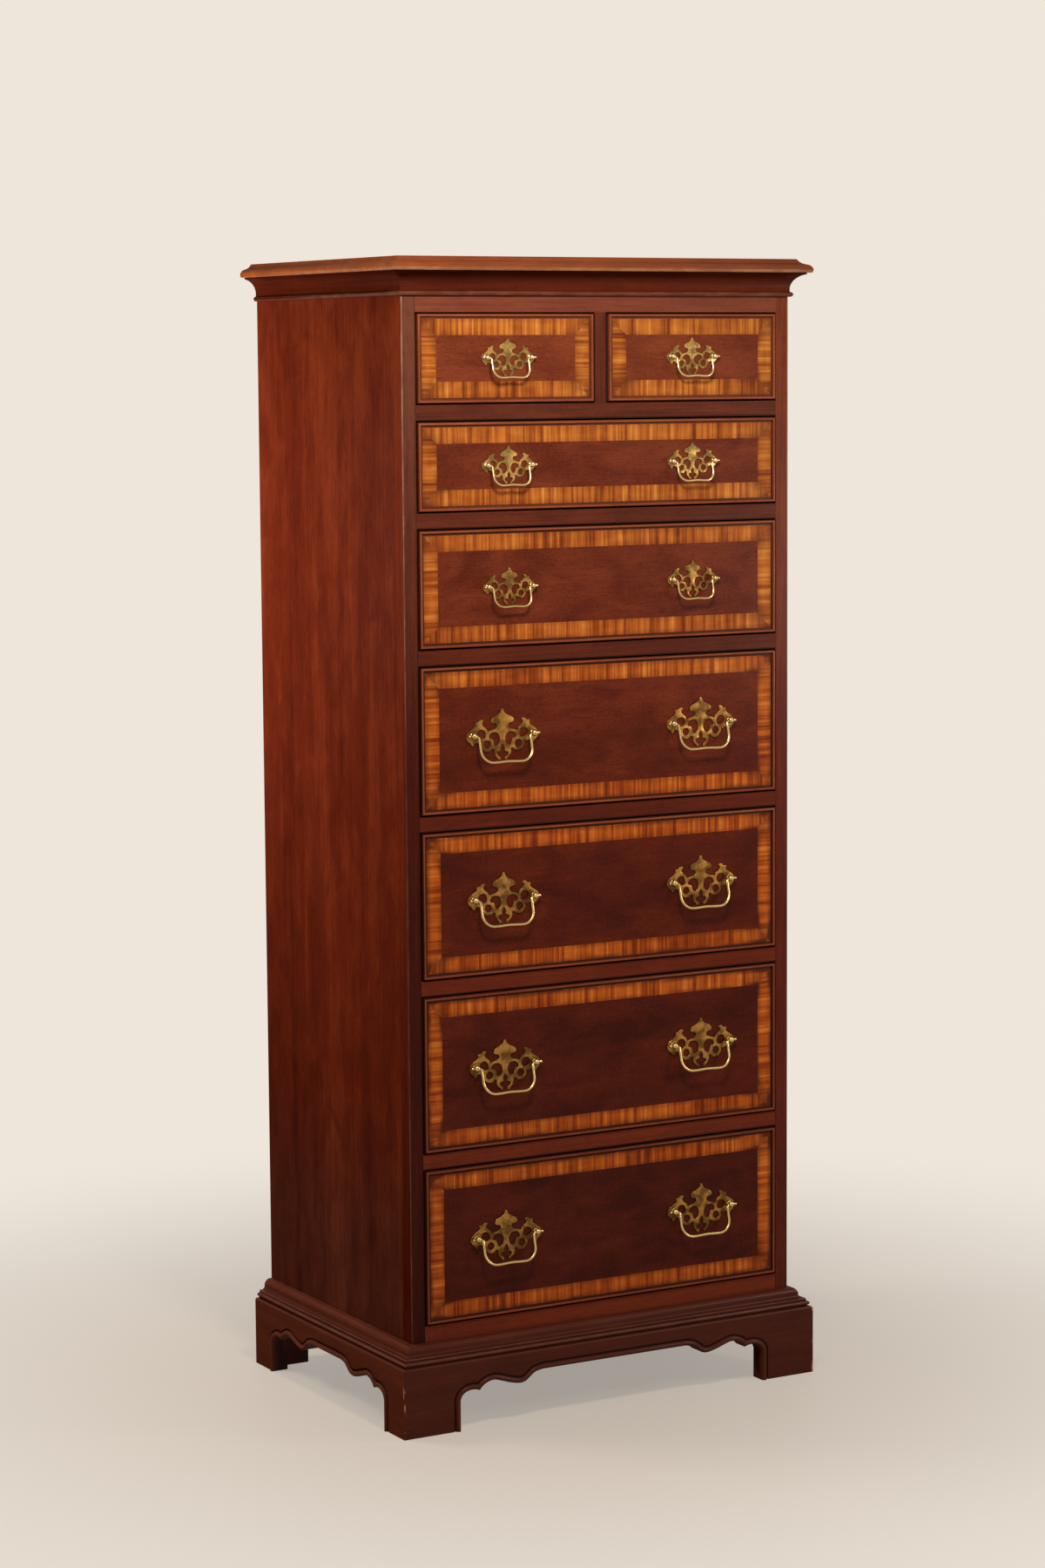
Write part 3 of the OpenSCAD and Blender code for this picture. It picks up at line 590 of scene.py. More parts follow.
@dataclass(frozen=True)
class Crossbanding:
    """Golden striped veneer laid across the edge of a drawer front.

    Its tone is middle, changed by each pattern as much as broad to blotch say, and a little
    on upright strips. It is burnt dark as the last three say, near the mitres and along the
    outer and the inner edge.
    """

    name: str = "crossbanding"
    deep: Rgb = (0.150, 0.028, 0.0060)
    red: Rgb = (0.300, 0.068, 0.0100)
    orange: Rgb = (0.490, 0.142, 0.0200)
    gold: Rgb = (0.700, 0.290, 0.0520)
    burnt: Rgb = (0.100, 0.020, 0.006)
    # Painted light: tints of the banding low down and high up
    low_light_tint: Rgb = (1.12, 0.84, 0.74)
    high_light_tint: Rgb = (1.0, 1.06, 1.20)
    rough: float = 0.40
    coat: float = 0.14
    coat_rough: float = 0.30
    middle: float = 0.465
    broad: float = 0.72
    stripe: float = 1.35
    hair: float = 0.62
    drift: float = 0.75
    blotch: float = 0.45
    upright: float = 0.035
    mitre_burn: float = 0.62
    outer_burn: float = 0.80
    inner_burn: float = 0.55

    def material(self) -> bpy.types.Material:
        """Makes the material, for a map whose first coordinate runs along the strip.

        Its stripes cross the strip, and the burnt places are blotched.

        Returns:
            The material.
        """
        shader = Shader(self.name, lacquer(self.coat, self.coat_rough))
        space = shader.grain_space(Grain.BY_MAP)
        broad = shader.noise(space, BAND_BROAD)
        stripe = shader.noise(space, BAND_STRIPE)
        hair = shader.noise(space, BAND_HAIR)
        drift = shader.noise(space, BAND_DRIFT)
        blotch = shader.noise(space, BAND_BLOTCH)
        tone = (
            self.middle
            + self.broad * (broad - 0.5)
            + self.stripe * (stripe - 0.5)
            + self.hair * (hair - 0.5)
            + self.drift * (drift - 0.5)
            + self.blotch * (blotch - 0.5)
            + self.upright * shader.attribute(WEAR_AND_PAINTED_LIGHT)
        )
        stops = ((0.16, self.deep), (0.36, self.red), (0.60, self.orange), (0.92, self.gold))
        # Painted light: the banding is tinted redder low down and paler high up, as light
        # falls from above
        height = shader.coordinate(2)
        by_height = ((0.45, self.low_light_tint), (1.0, self.high_light_tint))
        painted_light_tint = shader.tint(height.ramp(*BANDING_LIGHT_PART), by_height)
        colour = shader.mixed(1.0, shader.tint(tone, stops), painted_light_tint, "MULTIPLY")
        near_mitre = shader.attribute(CORNER).ramp(34.0 * MM, 2.0 * MM)
        across = shader.part(space, 1)
        edges = self.outer_burn * across.ramp(8.5 * MM, 0.8 * MM)
        edges = edges + self.inner_burn * across.ramp(15.0 * MM, 21.4 * MM)
        edges = edges * (0.35 + 0.8 * height.ramp(*BURNT_PART))
        burnt = (self.mitre_burn * near_mitre + edges) * blotch.ramp(*BURN_STEP)
        colour = shader.mixed(burnt, colour, self.burnt)
        rough = self.rough + 0.10 * (stripe - 0.5)
        return shader.finish(colour, rough, hair, HAIR_DEPTH)


@dataclass(frozen=True)
class PlainTimber:
    """Unfinished secondary wood; ring and streak say how much each changes the tone."""

    name: str
    dark: Rgb = (0.34, 0.22, 0.11)
    light: Rgb = (0.56, 0.42, 0.25)
    rough: float = 0.62
    ring: float = 1.2
    streak: float = 0.7

    def colour(
        self, shader: Shader, space: bpy.types.NodeSocket
    ) -> tuple[bpy.types.NodeSocket, Value]:
        """Works out the wood's colour.

        Args:
            shader: the shader it goes into.
            space: the point in grain space.

        Returns:
            The colour and the fine streaks.
        """
        ring, streak = shader.noise(space, RING), shader.noise(space, PLAIN_STREAK)
        tone = 0.5 + self.ring * (ring - 0.5) + self.streak * (streak - 0.5)
        stops = ((0.2, self.dark), (0.8, self.light))
        return shader.tint(tone, stops), streak

    def material(self, grain: Grain) -> bpy.types.Material:
        """Returns the material for pieces whose grain runs that way."""
        shader = Shader(f"{self.name}_{grain.name.lower()}")
        colour, streak = self.colour(shader, shader.grain_space(grain))
        return shader.finish(colour, self.rough, streak, STREAK_DEPTH)

    def box_material(self, middle: float, inner_half: float) -> bpy.types.Material:
        """Makes the material of a drawer box.

        The grain of its sides runs from front to back, and that of the boards between
        them from side to side.

        Args:
            middle: x of the middle of the drawer.
            inner_half: half the width between its sides.

        Returns:
            The material.
        """
        shader = Shader(f"{self.name}_box")
        side_grain, side_streak = self.colour(shader, shader.grain_space(Grain.ALONG_Y))
        board_grain, _ = self.colour(shader, shader.grain_space(Grain.ALONG_X))
        off_middle = (shader.coordinate(0) - middle).absolute()
        at_side = off_middle.over(inner_half)
        colour = shader.mixed(at_side, board_grain, side_grain)
        return shader.finish(colour, self.rough, side_streak, STREAK_DEPTH)


@dataclass(frozen=True)
class LippedTimber:
    """A frame with a lacquered mahogany lipping in front and plain wood behind it.

    The lipping is painted darker by shade_share along its edges, over shade_w: painted
    shade in the gaps beside the drawers.
    """

    name: str
    lipping: Mahogany
    inside: PlainTimber
    lipping_back: float
    edges: tuple[float, float]
    grain: Grain = Grain.ALONG_X
    shade_w: float = 2.8 * MM
    shade_share: float = 0.85
    bare_rough: float = 0.26
    side_dullness: float = 0.85

    def material(self) -> bpy.types.Material:
        """Makes the material, which changes over at the back of the lipping.

        Painted shade darkens the lipping along its two edges, where the drawers stop.

        Returns:
            The material.
        """
        shader = Shader(self.name, self.lipping.gloss)
        space = shader.grain_space(self.grain)
        front, pores = self.lipping.colour(shader, space)
        plain, _ = self.inside.colour(shader, space)
        place = shader.coordinate(0 if self.grain is Grain.ALONG_Z else 2)
        # Painted shade in the gaps along the frame's two edges
        from_low, from_high = place - self.edges[0], self.edges[1] - place
        ends = (self.shade_w, 0.2 * self.shade_w)
        dark = self.shade_share * (from_low.ramp(*ends) + from_high.ramp(*ends))
        front = shader.mixed(dark, front, self.lipping.grime_and_shade)
        behind = shader.coordinate(1).over(self.lipping_back)
        colour = shader.mixed(behind, front, plain)
        rough = self.lipping.rough + self.bare_rough * behind + PORE_ROUGH * pores
        coat = self.lipping.coat * (1.0 - behind)
        coat = coat * (1.0 - self.side_dullness * shader.sideways())
        return shader.finish(colour, rough, 1.0 - pores, PORE_DEPTH, coat)


@dataclass(frozen=True)
class Brass:
    """Aged brass, tarnished where hands don't rub it; share says how much is rubbed.

    Specks fray the tarnished patches, which are rougher by dullness.
    """

    name: str
    tarnish: Rgb = (0.170, 0.100, 0.030)
    bright: Rgb = (0.480, 0.300, 0.085)
    # Painted shade of the handles low down
    low_light_tint: Rgb = (0.66, 0.52, 0.42)
    share: float = 0.5
    specks: float = 0.25
    rough: float = 0.34
    dullness: float = 0.16

    def material(self) -> bpy.types.Material:
        """Makes the material; its tarnish lies in patches and is duller, and it is painted
        darker low down as shade.

        Returns:
            The material.
        """
        shader = Shader(self.name, {"Metallic": 1.0})
        space = shader.grain_space(Grain.ALONG_X)
        speck = shader.noise(space, SPECK) - 0.5
        patchy = shader.noise(space, TARNISH) + self.specks * speck
        start = 0.60 - 0.4 * self.share
        rubbed = patchy.ramp(start, start + 0.24)
        colour = shader.mixed(rubbed, self.tarnish, self.bright)
        # Painted shade: lower handles are darker, as less light reaches them
        lower = shader.coordinate(2).ramp(*SHADED_BRASS_PART)
        colour = shader.mixed(lower, colour, self.low_light_tint, "MULTIPLY")
        rough = self.rough + self.dullness * (1.0 - rubbed)
        return shader.finish(colour, rough)


# Shapes

# How far apart in metres the maps of two lengths and of two ends of a moulding lie
LENGTH_SHIFT = 1.7
END_SHIFT = 0.3
TUBE_SIDES = 16
# Points nearer than the first are joined, and edges shorter than the second removed
JOINED = 2e-6
SLIVER = 1e-7


def rounded(corners: np.ndarray, radii: Sequence[float], steps: int = 5) -> np.ndarray:
    """Rounds the corners of an open line.

    Each corner c between the tangent points a and b becomes the curve
    (1 - s)^2 a + 2 s (1 - s) c + s^2 b for s from 0 to 1.

    Args:
        corners: the line's points, (K, 2).
        radii: the radius at each point; 0 leaves it sharp.
        steps: points on each rounded corner.

    Returns:
        The points, (N, 2).
    """
    before = np.vstack([corners[:1], corners[:-1]])
    after = np.vstack([corners[1:], corners[-1:]])
    back, ahead = unit(before - corners), unit(after - corners)
    half = 0.5 * np.arccos(np.clip((back * ahead).sum(1), -0.999999, 0.999999))
    reach = (np.asarray(radii) / np.tan(np.maximum(half, 1e-3)))[:, None]
    start, end = corners + back * reach, corners + ahead * reach
    s = np.linspace(0, 1, steps)[None, :, None]
    curve = (
        (1 - s) ** 2 * start[:, None]
        + 2 * s * (1 - s) * corners[:, None]
        + s**2 * end[:, None]
    )
    points = curve.reshape(-1, 2)
    keep = np.r_[True, np.linalg.norm(np.diff(points, axis=0), axis=1) > SLIVER]
    return points[keep]


def eased(corners: np.ndarray, which: Sequence[int], radius: float) -> np.ndarray:
    """Rounds some corners of a section that is drawn in millimetres.

    Args:
        corners: the section's points, (K, 2).
        which: the numbers of the points that are rounded.
        radius: their radius in millimetres.

    Returns:
        The section in metres, (N, 2).
    """
    radii = np.zeros(len(corners))
    radii[list(which)] = radius
    return rounded(corners * MM, radii * MM)


def unit(vectors: np.ndarray) -> np.ndarray:
    """Returns vectors scaled to length 1; a zero vector stays zero."""
    length = np.linalg.norm(vectors, axis=-1, keepdims=True)
    return vectors / np.where(length < 1e-12, 1, length)


def bow(
    start: tuple[float, float], end: tuple[float, float], radius: float, steps: int = 10
) -> np.ndarray:
    """Returns points of a circular arc.

    Args:
        start: its first point.
        end: its last point.
        radius: its radius; a positive one curves anticlockwise.
        steps: the number of points.

    Returns:
        The points, (steps, 2).
    """
    a, b = np.array(start), np.array(end)
    chord = b - a
    length = float(np.linalg.norm(chord))
    rise = math.copysign(math.sqrt(max(0.0, radius**2 - length**2 / 4)), radius)
    centre = (a + b) / 2 + rise * np.array([-chord[1], chord[0]]) / length
    first = math.atan2(a[1] - centre[1], a[0] - centre[0])
    turn = 2 * math.asin(length / 2 / radius)
    angle = first + turn * np.linspace(0, 1, steps)
    return centre + abs(radius) * np.stack([np.cos(angle), np.sin(angle)], 1)


def smooth_curve(points: np.ndarray, steps: int, closed: bool = False) -> np.ndarray:
    """Draws a smooth curve through points: on each span a cubic whose slope at a point
    is half the step from the point before it to the point after it.

    Args:
        points: the points it passes through, (K, 2).
        steps: points on each span.
        closed: whether the last point joins the first.

    Returns:
        The curve's points, (N, 2).
    """
    if closed:
        p = np.vstack([points[-1:], points, points[:2]])
    else:
        p = np.vstack([points[:1], points, points[-1:]])
    a, b, c, d = p[:-3, None], p[1:-2, None], p[2:-1, None], p[3:, None]
    t = np.linspace(0, 1, steps, endpoint=False)[None, :, None]
    curve = 0.5 * (
        2 * b
        + (c - a) * t
        + (2 * a - 5 * b + 4 * c - d) * t**2
        + (3 * b - a - 3 * c + d) * t**3
    )
    flat = curve.reshape(-1, 2)
    return flat if closed else np.vstack([flat, points[-1:]])


def beside(path: np.ndarray, distance: float) -> np.ndarray:
    """Moves a path to its left by a distance, keeping its number of points.

    A moved point that comes nearer to the path than the distance lies in a fold; each
    such run of points is gathered on the middle between its two sound neighbours.

    Args:
        path: the points, (N, 2).
        distance: how far they move; at 0 or less they stay.

    Returns:
        The moved points, (N, 2).
    """
    slack = 0.25 * MM
    if distance <= 0:
        return path
    along = unit(np.gradient(path, axis=0))
    moved = path + distance * np.stack([-along[:, 1], along[:, 0]], 1)
    gap = np.linalg.norm(moved[:, None] - path[None], axis=2).min(1)
    sound = gap > distance - slack
    order = np.arange(len(path))
    last = np.maximum.accumulate(np.where(sound, order, 0))
    following = np.minimum.accumulate(np.where(sound, order, len(path) - 1)[::-1])[::-1]
    middle = 0.5 * (moved[last] + moved[following])
    return np.where(sound[:, None], moved, middle)


def rubbed(outline: np.ndarray, open_ends: bool = False) -> np.ndarray:
    """Works out the rubbing of an outline with painted highlight and shade: up to 1 on
    outward corners, where a painted highlight goes, down to -1 in hollows, painted shade.

    At point i that is sign * sum over j of turn j * exp(-((s i - s j) / w)^2) / t, where s is
    the length run so far, w the window, t the turn that counts as 1, and sign makes an
    outward turn positive.

    Args:
        outline: the points, (N, 2).
        open_ends: whether the outline stops at its ends, which then don't turn.

    Returns:
        The rubbing with painted highlight and shade at each point, (N,).
    """
    window, full_turn = 1.1 * MM, 1.2
    back = outline - np.roll(outline, 1, 0)
    ahead = np.roll(outline, -1, 0) - outline
    cross = back[:, 0] * ahead[:, 1] - back[:, 1] * ahead[:, 0]
    turn = np.arctan2(cross, (back * ahead).sum(1))
    if open_ends:
        turn[[0, -1]] = 0
    run = np.cumsum(np.linalg.norm(back, axis=1))
    near = np.exp(-(((run[:, None] - run[None]) / window) ** 2))
    return np.clip(np.sign(turned_area(outline)) * (near @ turn) / full_turn, -1, 1)


def turned_area(outline: np.ndarray) -> float:
    """Returns an outline's area, positive where it runs anticlockwise."""
    x, y = outline.T
    return 0.5 * float(np.sum(x * np.roll(y, -1) - y * np.roll(x, -1)))


def as_drawn(points: np.ndarray) -> np.ndarray:
    """Returns points unchanged: a plan view whose third coordinate is the height."""
    return points


@dataclass
class Piece:
    """Gathers the surfaces of one visible piece and makes its object."""

    name: str
    shift: float = 0.0
    points: list[np.ndarray] = field(default_factory=list)
    maps: list[np.ndarray] = field(default_factory=list)
    wear_and_painted_light: list[np.ndarray] = field(default_factory=list)
    corner: list[np.ndarray] = field(default_factory=list)
    loops: list[np.ndarray] = field(default_factory=list)
    sizes: list[np.ndarray] = field(default_factory=list)
    count: int = 0

    def _add(
        self,
        points: np.ndarray,
        uv: np.ndarray,
        loops: np.ndarray,
        sizes: np.ndarray,
        wear_and_painted_light: np.ndarray | float = 0.0,
        corner: np.ndarray | float = 1.0,
    ) -> None:
        """Takes in points, their map, their faces and what they carry.

        Args:
            points: the points, (N, 3).
            uv: their map in metres, (N, 2).
            loops: the points of every face in turn.
            sizes: how many points each face has.
            wear_and_painted_light: rubbed edges with a painted highlight and hollows with
            painted shade, (N,) or one number.
            corner: distance to the nearest mitre, (N,) or one number; 1 is far.
        """
        self.points.append(points)
        self.maps.append(uv + [self.shift, 0.0])
        self.wear_and_painted_light.append(np.broadcast_to(wear_and_painted_light, len(points)))
        self.corner.append(np.broadcast_to(corner, len(points)))
        self.loops.append(loops + self.count)
        self.sizes.append(sizes)
        self.count += len(points)

    def grid(
        self,
        points: np.ndarray,
        uv: np.ndarray,
        wear_and_painted_light: np.ndarray | float = 0.0,
        corner: np.ndarray | float = 1.0,
    ) -> None:
        """Adds a sheet of quads.

        Args:
            points: the sheet's points, (U, V, 3).
            uv: their map in metres, (U, V, 2).
            wear_and_painted_light: rubbed edges with a painted highlight and hollows with
            painted shade, (U, V) or one number.
            corner: distance to the nearest mitre, (U, V) or one number; 1 is far.
        """
        rows, columns = points.shape[:2]
        index = np.arange(rows * columns).reshape(rows, columns)
        quads = np.stack(
            [index[:-1, :-1], index[1:, :-1], index[1:, 1:], index[:-1, 1:]], -1
        )
        shape = (rows, columns)
        self._add(
            points.reshape(-1, 3),
            uv.reshape(-1, 2),
            quads.reshape(-1),
            np.full(quads.size // 4, 4),
            np.broadcast_to(wear_and_painted_light, shape).reshape(-1),
            np.broadcast_to(corner, shape).reshape(-1),
        )

    def face(self, points: np.ndarray, uv: np.ndarray) -> None:
        """Adds one flat face with any outline, from its points (N, 3) and map (N, 2)."""
        self._add(points, uv, np.arange(len(points)), np.array([len(points)]))

    def carry(
        self,
        profile: np.ndarray,
        bases: np.ndarray,
        leans: np.ndarray,
        place: Place = as_drawn,
        wear_and_painted_light: np.ndarray | float = 0.0,
        closed: bool = True,
    ) -> None:
        """Carries a profile along mitred lengths.

        A profile point (out, up) at station k lies at base k + out * lean k, at height up.

        Args:
            profile: the outline, (P, 2); a closed one doesn't repeat its first point.
            bases: the stations in plan, (K, 2); the last repeats the first on a ring.
            leans: how a point moves in plan for each metre of out, (K, 2).
            place: turns plan points with a height into points of the chest.
            wear_and_painted_light: rubbed edges with a painted highlight and hollows with
            painted shade, at the profile's points.
            closed: whether the profile is closed; its ends are then covered too.
        """
        rub = np.broadcast_to(wear_and_painted_light, len(profile))
        outline = np.vstack([profile, profile[:1]]) if closed else profile
        rub = np.append(rub, rub[0]) if closed else rub
        girth = np.r_[0, np.cumsum(np.linalg.norm(np.diff(outline, axis=0), axis=1))]
        flat = bases[:, None] + leans[:, None] * outline[None, :, :1]
        height = np.broadcast_to(outline[None, :, 1:], (*flat.shape[:2], 1))
        stations = np.concatenate([flat, height], 2)
        for k in range(len(bases) - 1):
            pair = stations[k : k + 2]
            run = pair[..., :2] @ unit(bases[k + 1] - bases[k])
            three = np.stack([pair[0], pair.mean(0), pair[1]])
            u = np.stack([run[0], run.mean(0), run[1]]) + LENGTH_SHIFT * k
            reach = np.zeros_like(u)
            reach[1] = 0.5 * np.abs(run[1] - run[0])
            uv = np.stack([u, np.broadcast_to(girth, u.shape)], -1)
            self.grid(place(three), uv, rub[None], reach)
        if closed and not np.allclose(bases[0], bases[-1]):
            for k in (0, len(bases) - 1):
                self.face(place(stations[k, :-1]), profile[:, ::-1] + END_SHIFT * k)

    def prism(
        self, outline: np.ndarray, low: float, high: float, wear_and_painted_light: np.ndarray | float = 0.0
    ) -> None:
        """Stands a closed plan outline up between two levels.

        Args:
            outline: the plan, (P, 2), its first point not repeated.
            low: the lower level.
            high: the upper level.
            wear_and_painted_light: rubbed edges with a painted highlight and hollows with
            painted shade, at the outline's points.
        """
        ring = np.vstack([outline, outline[:1]])
        rub = np.broadcast_to(wear_and_painted_light, len(outline))
        girth = np.r_[0, np.cumsum(np.linalg.norm(np.diff(ring, axis=0), axis=1))]
        level = np.array([low, high])[:, None]
        lifted = np.broadcast_to(level, (2, len(ring)))
        flat = np.broadcast_to(ring, (2, len(ring), 2))
        uv = np.stack([lifted, np.broadcast_to(girth, lifted.shape)], -1)
        points = np.concatenate([flat, lifted[..., None]], 2)
        self.grid(points, uv, np.append(rub, rub[0])[None])
        for k in (0, 1):
            self.face(points[k, :-1], outline)

    def revolve(self, profile: np.ndarray, centre: Vector, sides: int) -> None:
        """Turns a profile round a line along y: (radius, y) at angle a lies at
        (radius cos a, y, radius sin a) from the centre.

        Args:
            profile: radii and places along y, (P, 2).
            centre: where the line passes.
            sides: how many faces go round.
        """
        a = np.linspace(0, 2 * math.pi, sides + 1)[None]
        r, y = profile[:, :1], profile[:, 1:]
        ring = np.stack([r * np.cos(a), y + 0 * a, r * np.sin(a)], -1) + np.array(centre)
        uv = np.stack([y + 0 * a, r * a], -1)
        self.grid(ring, uv)

    def tube(self, path: np.ndarray, radii: np.ndarray, side: np.ndarray) -> None:
        """Carries a circle along a flat path: a point at angle a lies at
        path + radius (cos a * normal + sin a * side).

        Args:
            path: the centre line, (N, 3), in a plane square to side.
            radii: the radius at each of its points; 0 closes an end.
            side: the plane's unit normal.
        """
        along = unit(np.gradient(path, axis=0))
        normal = np.cross(side[None], along)
        a = np.linspace(0, 2 * math.pi, TUBE_SIDES + 1)
        out = np.cos(a)[None, :, None] * normal[:, None]
        out = out + np.sin(a)[None, :, None] * side[None, None]
        points = path[:, None] + radii[:, None, None] * out
        run = np.r_[0, np.cumsum(np.linalg.norm(np.diff(path, axis=0), axis=1))]
        uv = np.stack(np.broadcast_arrays(run[:, None], 2 * MM * a[None]), -1)
        self.grid(points, uv)

    def make(self, material: bpy.types.Material, crease: float = 32.0) -> bpy.types.Object:
        """Makes the object.

        Args:
            material: its finish.
            crease: edges that turn by more degrees than this stay sharp.

        Returns:
            The object, at the origin.
        """
        mesh = bpy.data.meshes.new(self.name)
        loops, sizes = np.concatenate(self.loops), np.concatenate(self.sizes)
        mesh.vertices.add(self.count)
        mesh.vertices.foreach_set("co", np.concatenate(self.points).ravel())
        mesh.loops.add(len(loops))
        mesh.loops.foreach_set("vertex_index", loops.astype(np.int32))
        mesh.polygons.add(len(sizes))
        starts = np.r_[0, np.cumsum(sizes)[:-1]].astype(np.int32)
        mesh.polygons.foreach_set("loop_start", starts)
        layer = mesh.uv_layers.new(name=GRAIN_MAP)
        layer.data.foreach_set("uv", np.concatenate(self.maps)[loops].ravel())
        for name, values in ((WEAR_AND_PAINTED_LIGHT, self.wear_and_painted_light), (CORNER, self.corner)):
            carried = mesh.attributes.new(name, "FLOAT", "POINT")
            carried.data.foreach_set("value", np.concatenate(values).astype(np.float32))
        mesh.update(calc_edges=True)
        return finished_object(mesh, self.name, material, crease)


def finished_object(
    mesh: bpy.types.Mesh, name: str, material: bpy.types.Material, crease: float
) -> bpy.types.Object:
    """Joins a mesh's seams, points its faces outwards and puts it in the scene.

    Args:
        mesh: the mesh.
        name: the object's name.
        material: its finish.
        crease: edges that turn by more degrees than this stay sharp.

    Returns:
        The object.
    """
    shape = bmesh.new()
    shape.from_mesh(mesh)
    bmesh.ops.remove_doubles(shape, verts=shape.verts, dist=JOINED)
    bmesh.ops.dissolve_degenerate(shape, edges=shape.edges, dist=SLIVER)
    bmesh.ops.recalc_face_normals(shape, faces=shape.faces)
    shape.to_mesh(mesh)
    shape.free()
    mesh.validate()
    mesh.polygons.foreach_set("use_smooth", np.ones(len(mesh.polygons), bool))
    mesh.set_sharp_from_angle(angle=math.radians(crease))
    mesh.materials.clear()
    mesh.materials.append(material)
    thing = bpy.data.objects.new(name, mesh)
    bpy.context.scene.collection.objects.link(thing)
    LOG.info("%s: %d faces", name, len(mesh.polygons))
    return thing


def cut_from_sheet(
    name: str,
    outlines: Sequence[np.ndarray],
    front: float,
    thickness: float,
    bevel: float,
    material: bpy.types.Material,
) -> bpy.types.Object:
    """Cuts a pierced sheet with softened edges that stands square to y.

    Args:
        name: the object's name.
        outlines: closed outlines and holes as x and z, each (N, 2).
        front: y of its front face.
        thickness: how thick it is.
        bevel: how much its edges are softened.
        material: its finish.

    Returns:
        The object.
    """
    curve = bpy.data.curves.new(name, "CURVE")
    curve.dimensions = "2D"
    curve.fill_mode = "BOTH"
    curve.extrude = thickness / 2 - bevel
    curve.bevel_depth = bevel
    curve.bevel_resolution = 2
    curve.offset = -bevel
    for outline in outlines:
        spline = curve.splines.new("POLY")
        spline.points.add(len(outline) - 1)
        flat = np.zeros((len(outline), 4))
        flat[:, :2] = outline
        flat[:, 3] = 1
        spline.points.foreach_set("co", flat.ravel())
        spline.use_cyclic_u = True
    drawn = bpy.data.objects.new(name + "_drawn", curve)
    bpy.context.scene.collection.objects.link(drawn)
    bpy.context.view_layer.update()
    graph = bpy.context.evaluated_depsgraph_get()
    mesh = bpy.data.meshes.new_from_object(drawn.evaluated_get(graph))
    bpy.data.objects.remove(drawn)
    bpy.data.curves.remove(curve)
    middle = front + thickness / 2
    mesh.transform(Matrix(((1, 0, 0, 0), (0, 0, -1, middle), (0, 1, 0, 0), (0, 0, 0, 1))))
    return finished_object(mesh, name, material, crease=20.0)


# The chest


@dataclass(frozen=True)
class CasePlanes:
    """Where the case stands, read from its packed stile and side."""

    half_width: float
    stile_width: float
    front: float
    stile_back: float
    back: float
    foot: float
    top: float

    @classmethod
    def read(cls) -> CasePlanes:
        """Returns the planes as the frame gives them."""
        low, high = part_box("right_stile")
        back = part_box("right_side")[1].y
        return cls(high.x, high.x - low.x, low.y, high.y, back, low.z, high.z)

    def ring(self) -> tuple[np.ndarray, np.ndarray]:
        """Returns the stations of a moulding round the left side, front and right side,
        and the way that each leans outwards."""
        w, f, b = self.half_width, self.front, self.back
        bases = np.array([[-w, b], [-w, f], [w, f], [w, b]])
        leans = np.array([[-1, 0], [-1, -1], [1, -1], [1, 0]], float)
        return bases, leans


def standing_on(level: float) -> Place:
    """Returns a place that lifts a plan view to a level."""
    return lambda points: points + np.array([0, 0, level])


def dress(
    thing: bpy.types.Object, body: str, nodes: Sequence[str] = ()
) -> bpy.types.Object:
    """Makes a piece ride on a body and stand for CAD nodes.

    Args:
        thing: the piece.
        body: the body that it moves with.
        nodes: the nodes that it stands for.

    Returns:
        The piece.
    """
    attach(thing, body)
    if nodes:
        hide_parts(*nodes)
    return thing


def lay_finish(thing: bpy.types.Object, material: bpy.types.Material) -> None:
    """Gives a carried-over node its finish.

    Args:
        thing: the node's object.
        material: the finish.
    """
    for slot in thing.material_slots:
        slot.material = material
    LOG.info("%s: finished as %s", thing.name, material.name)


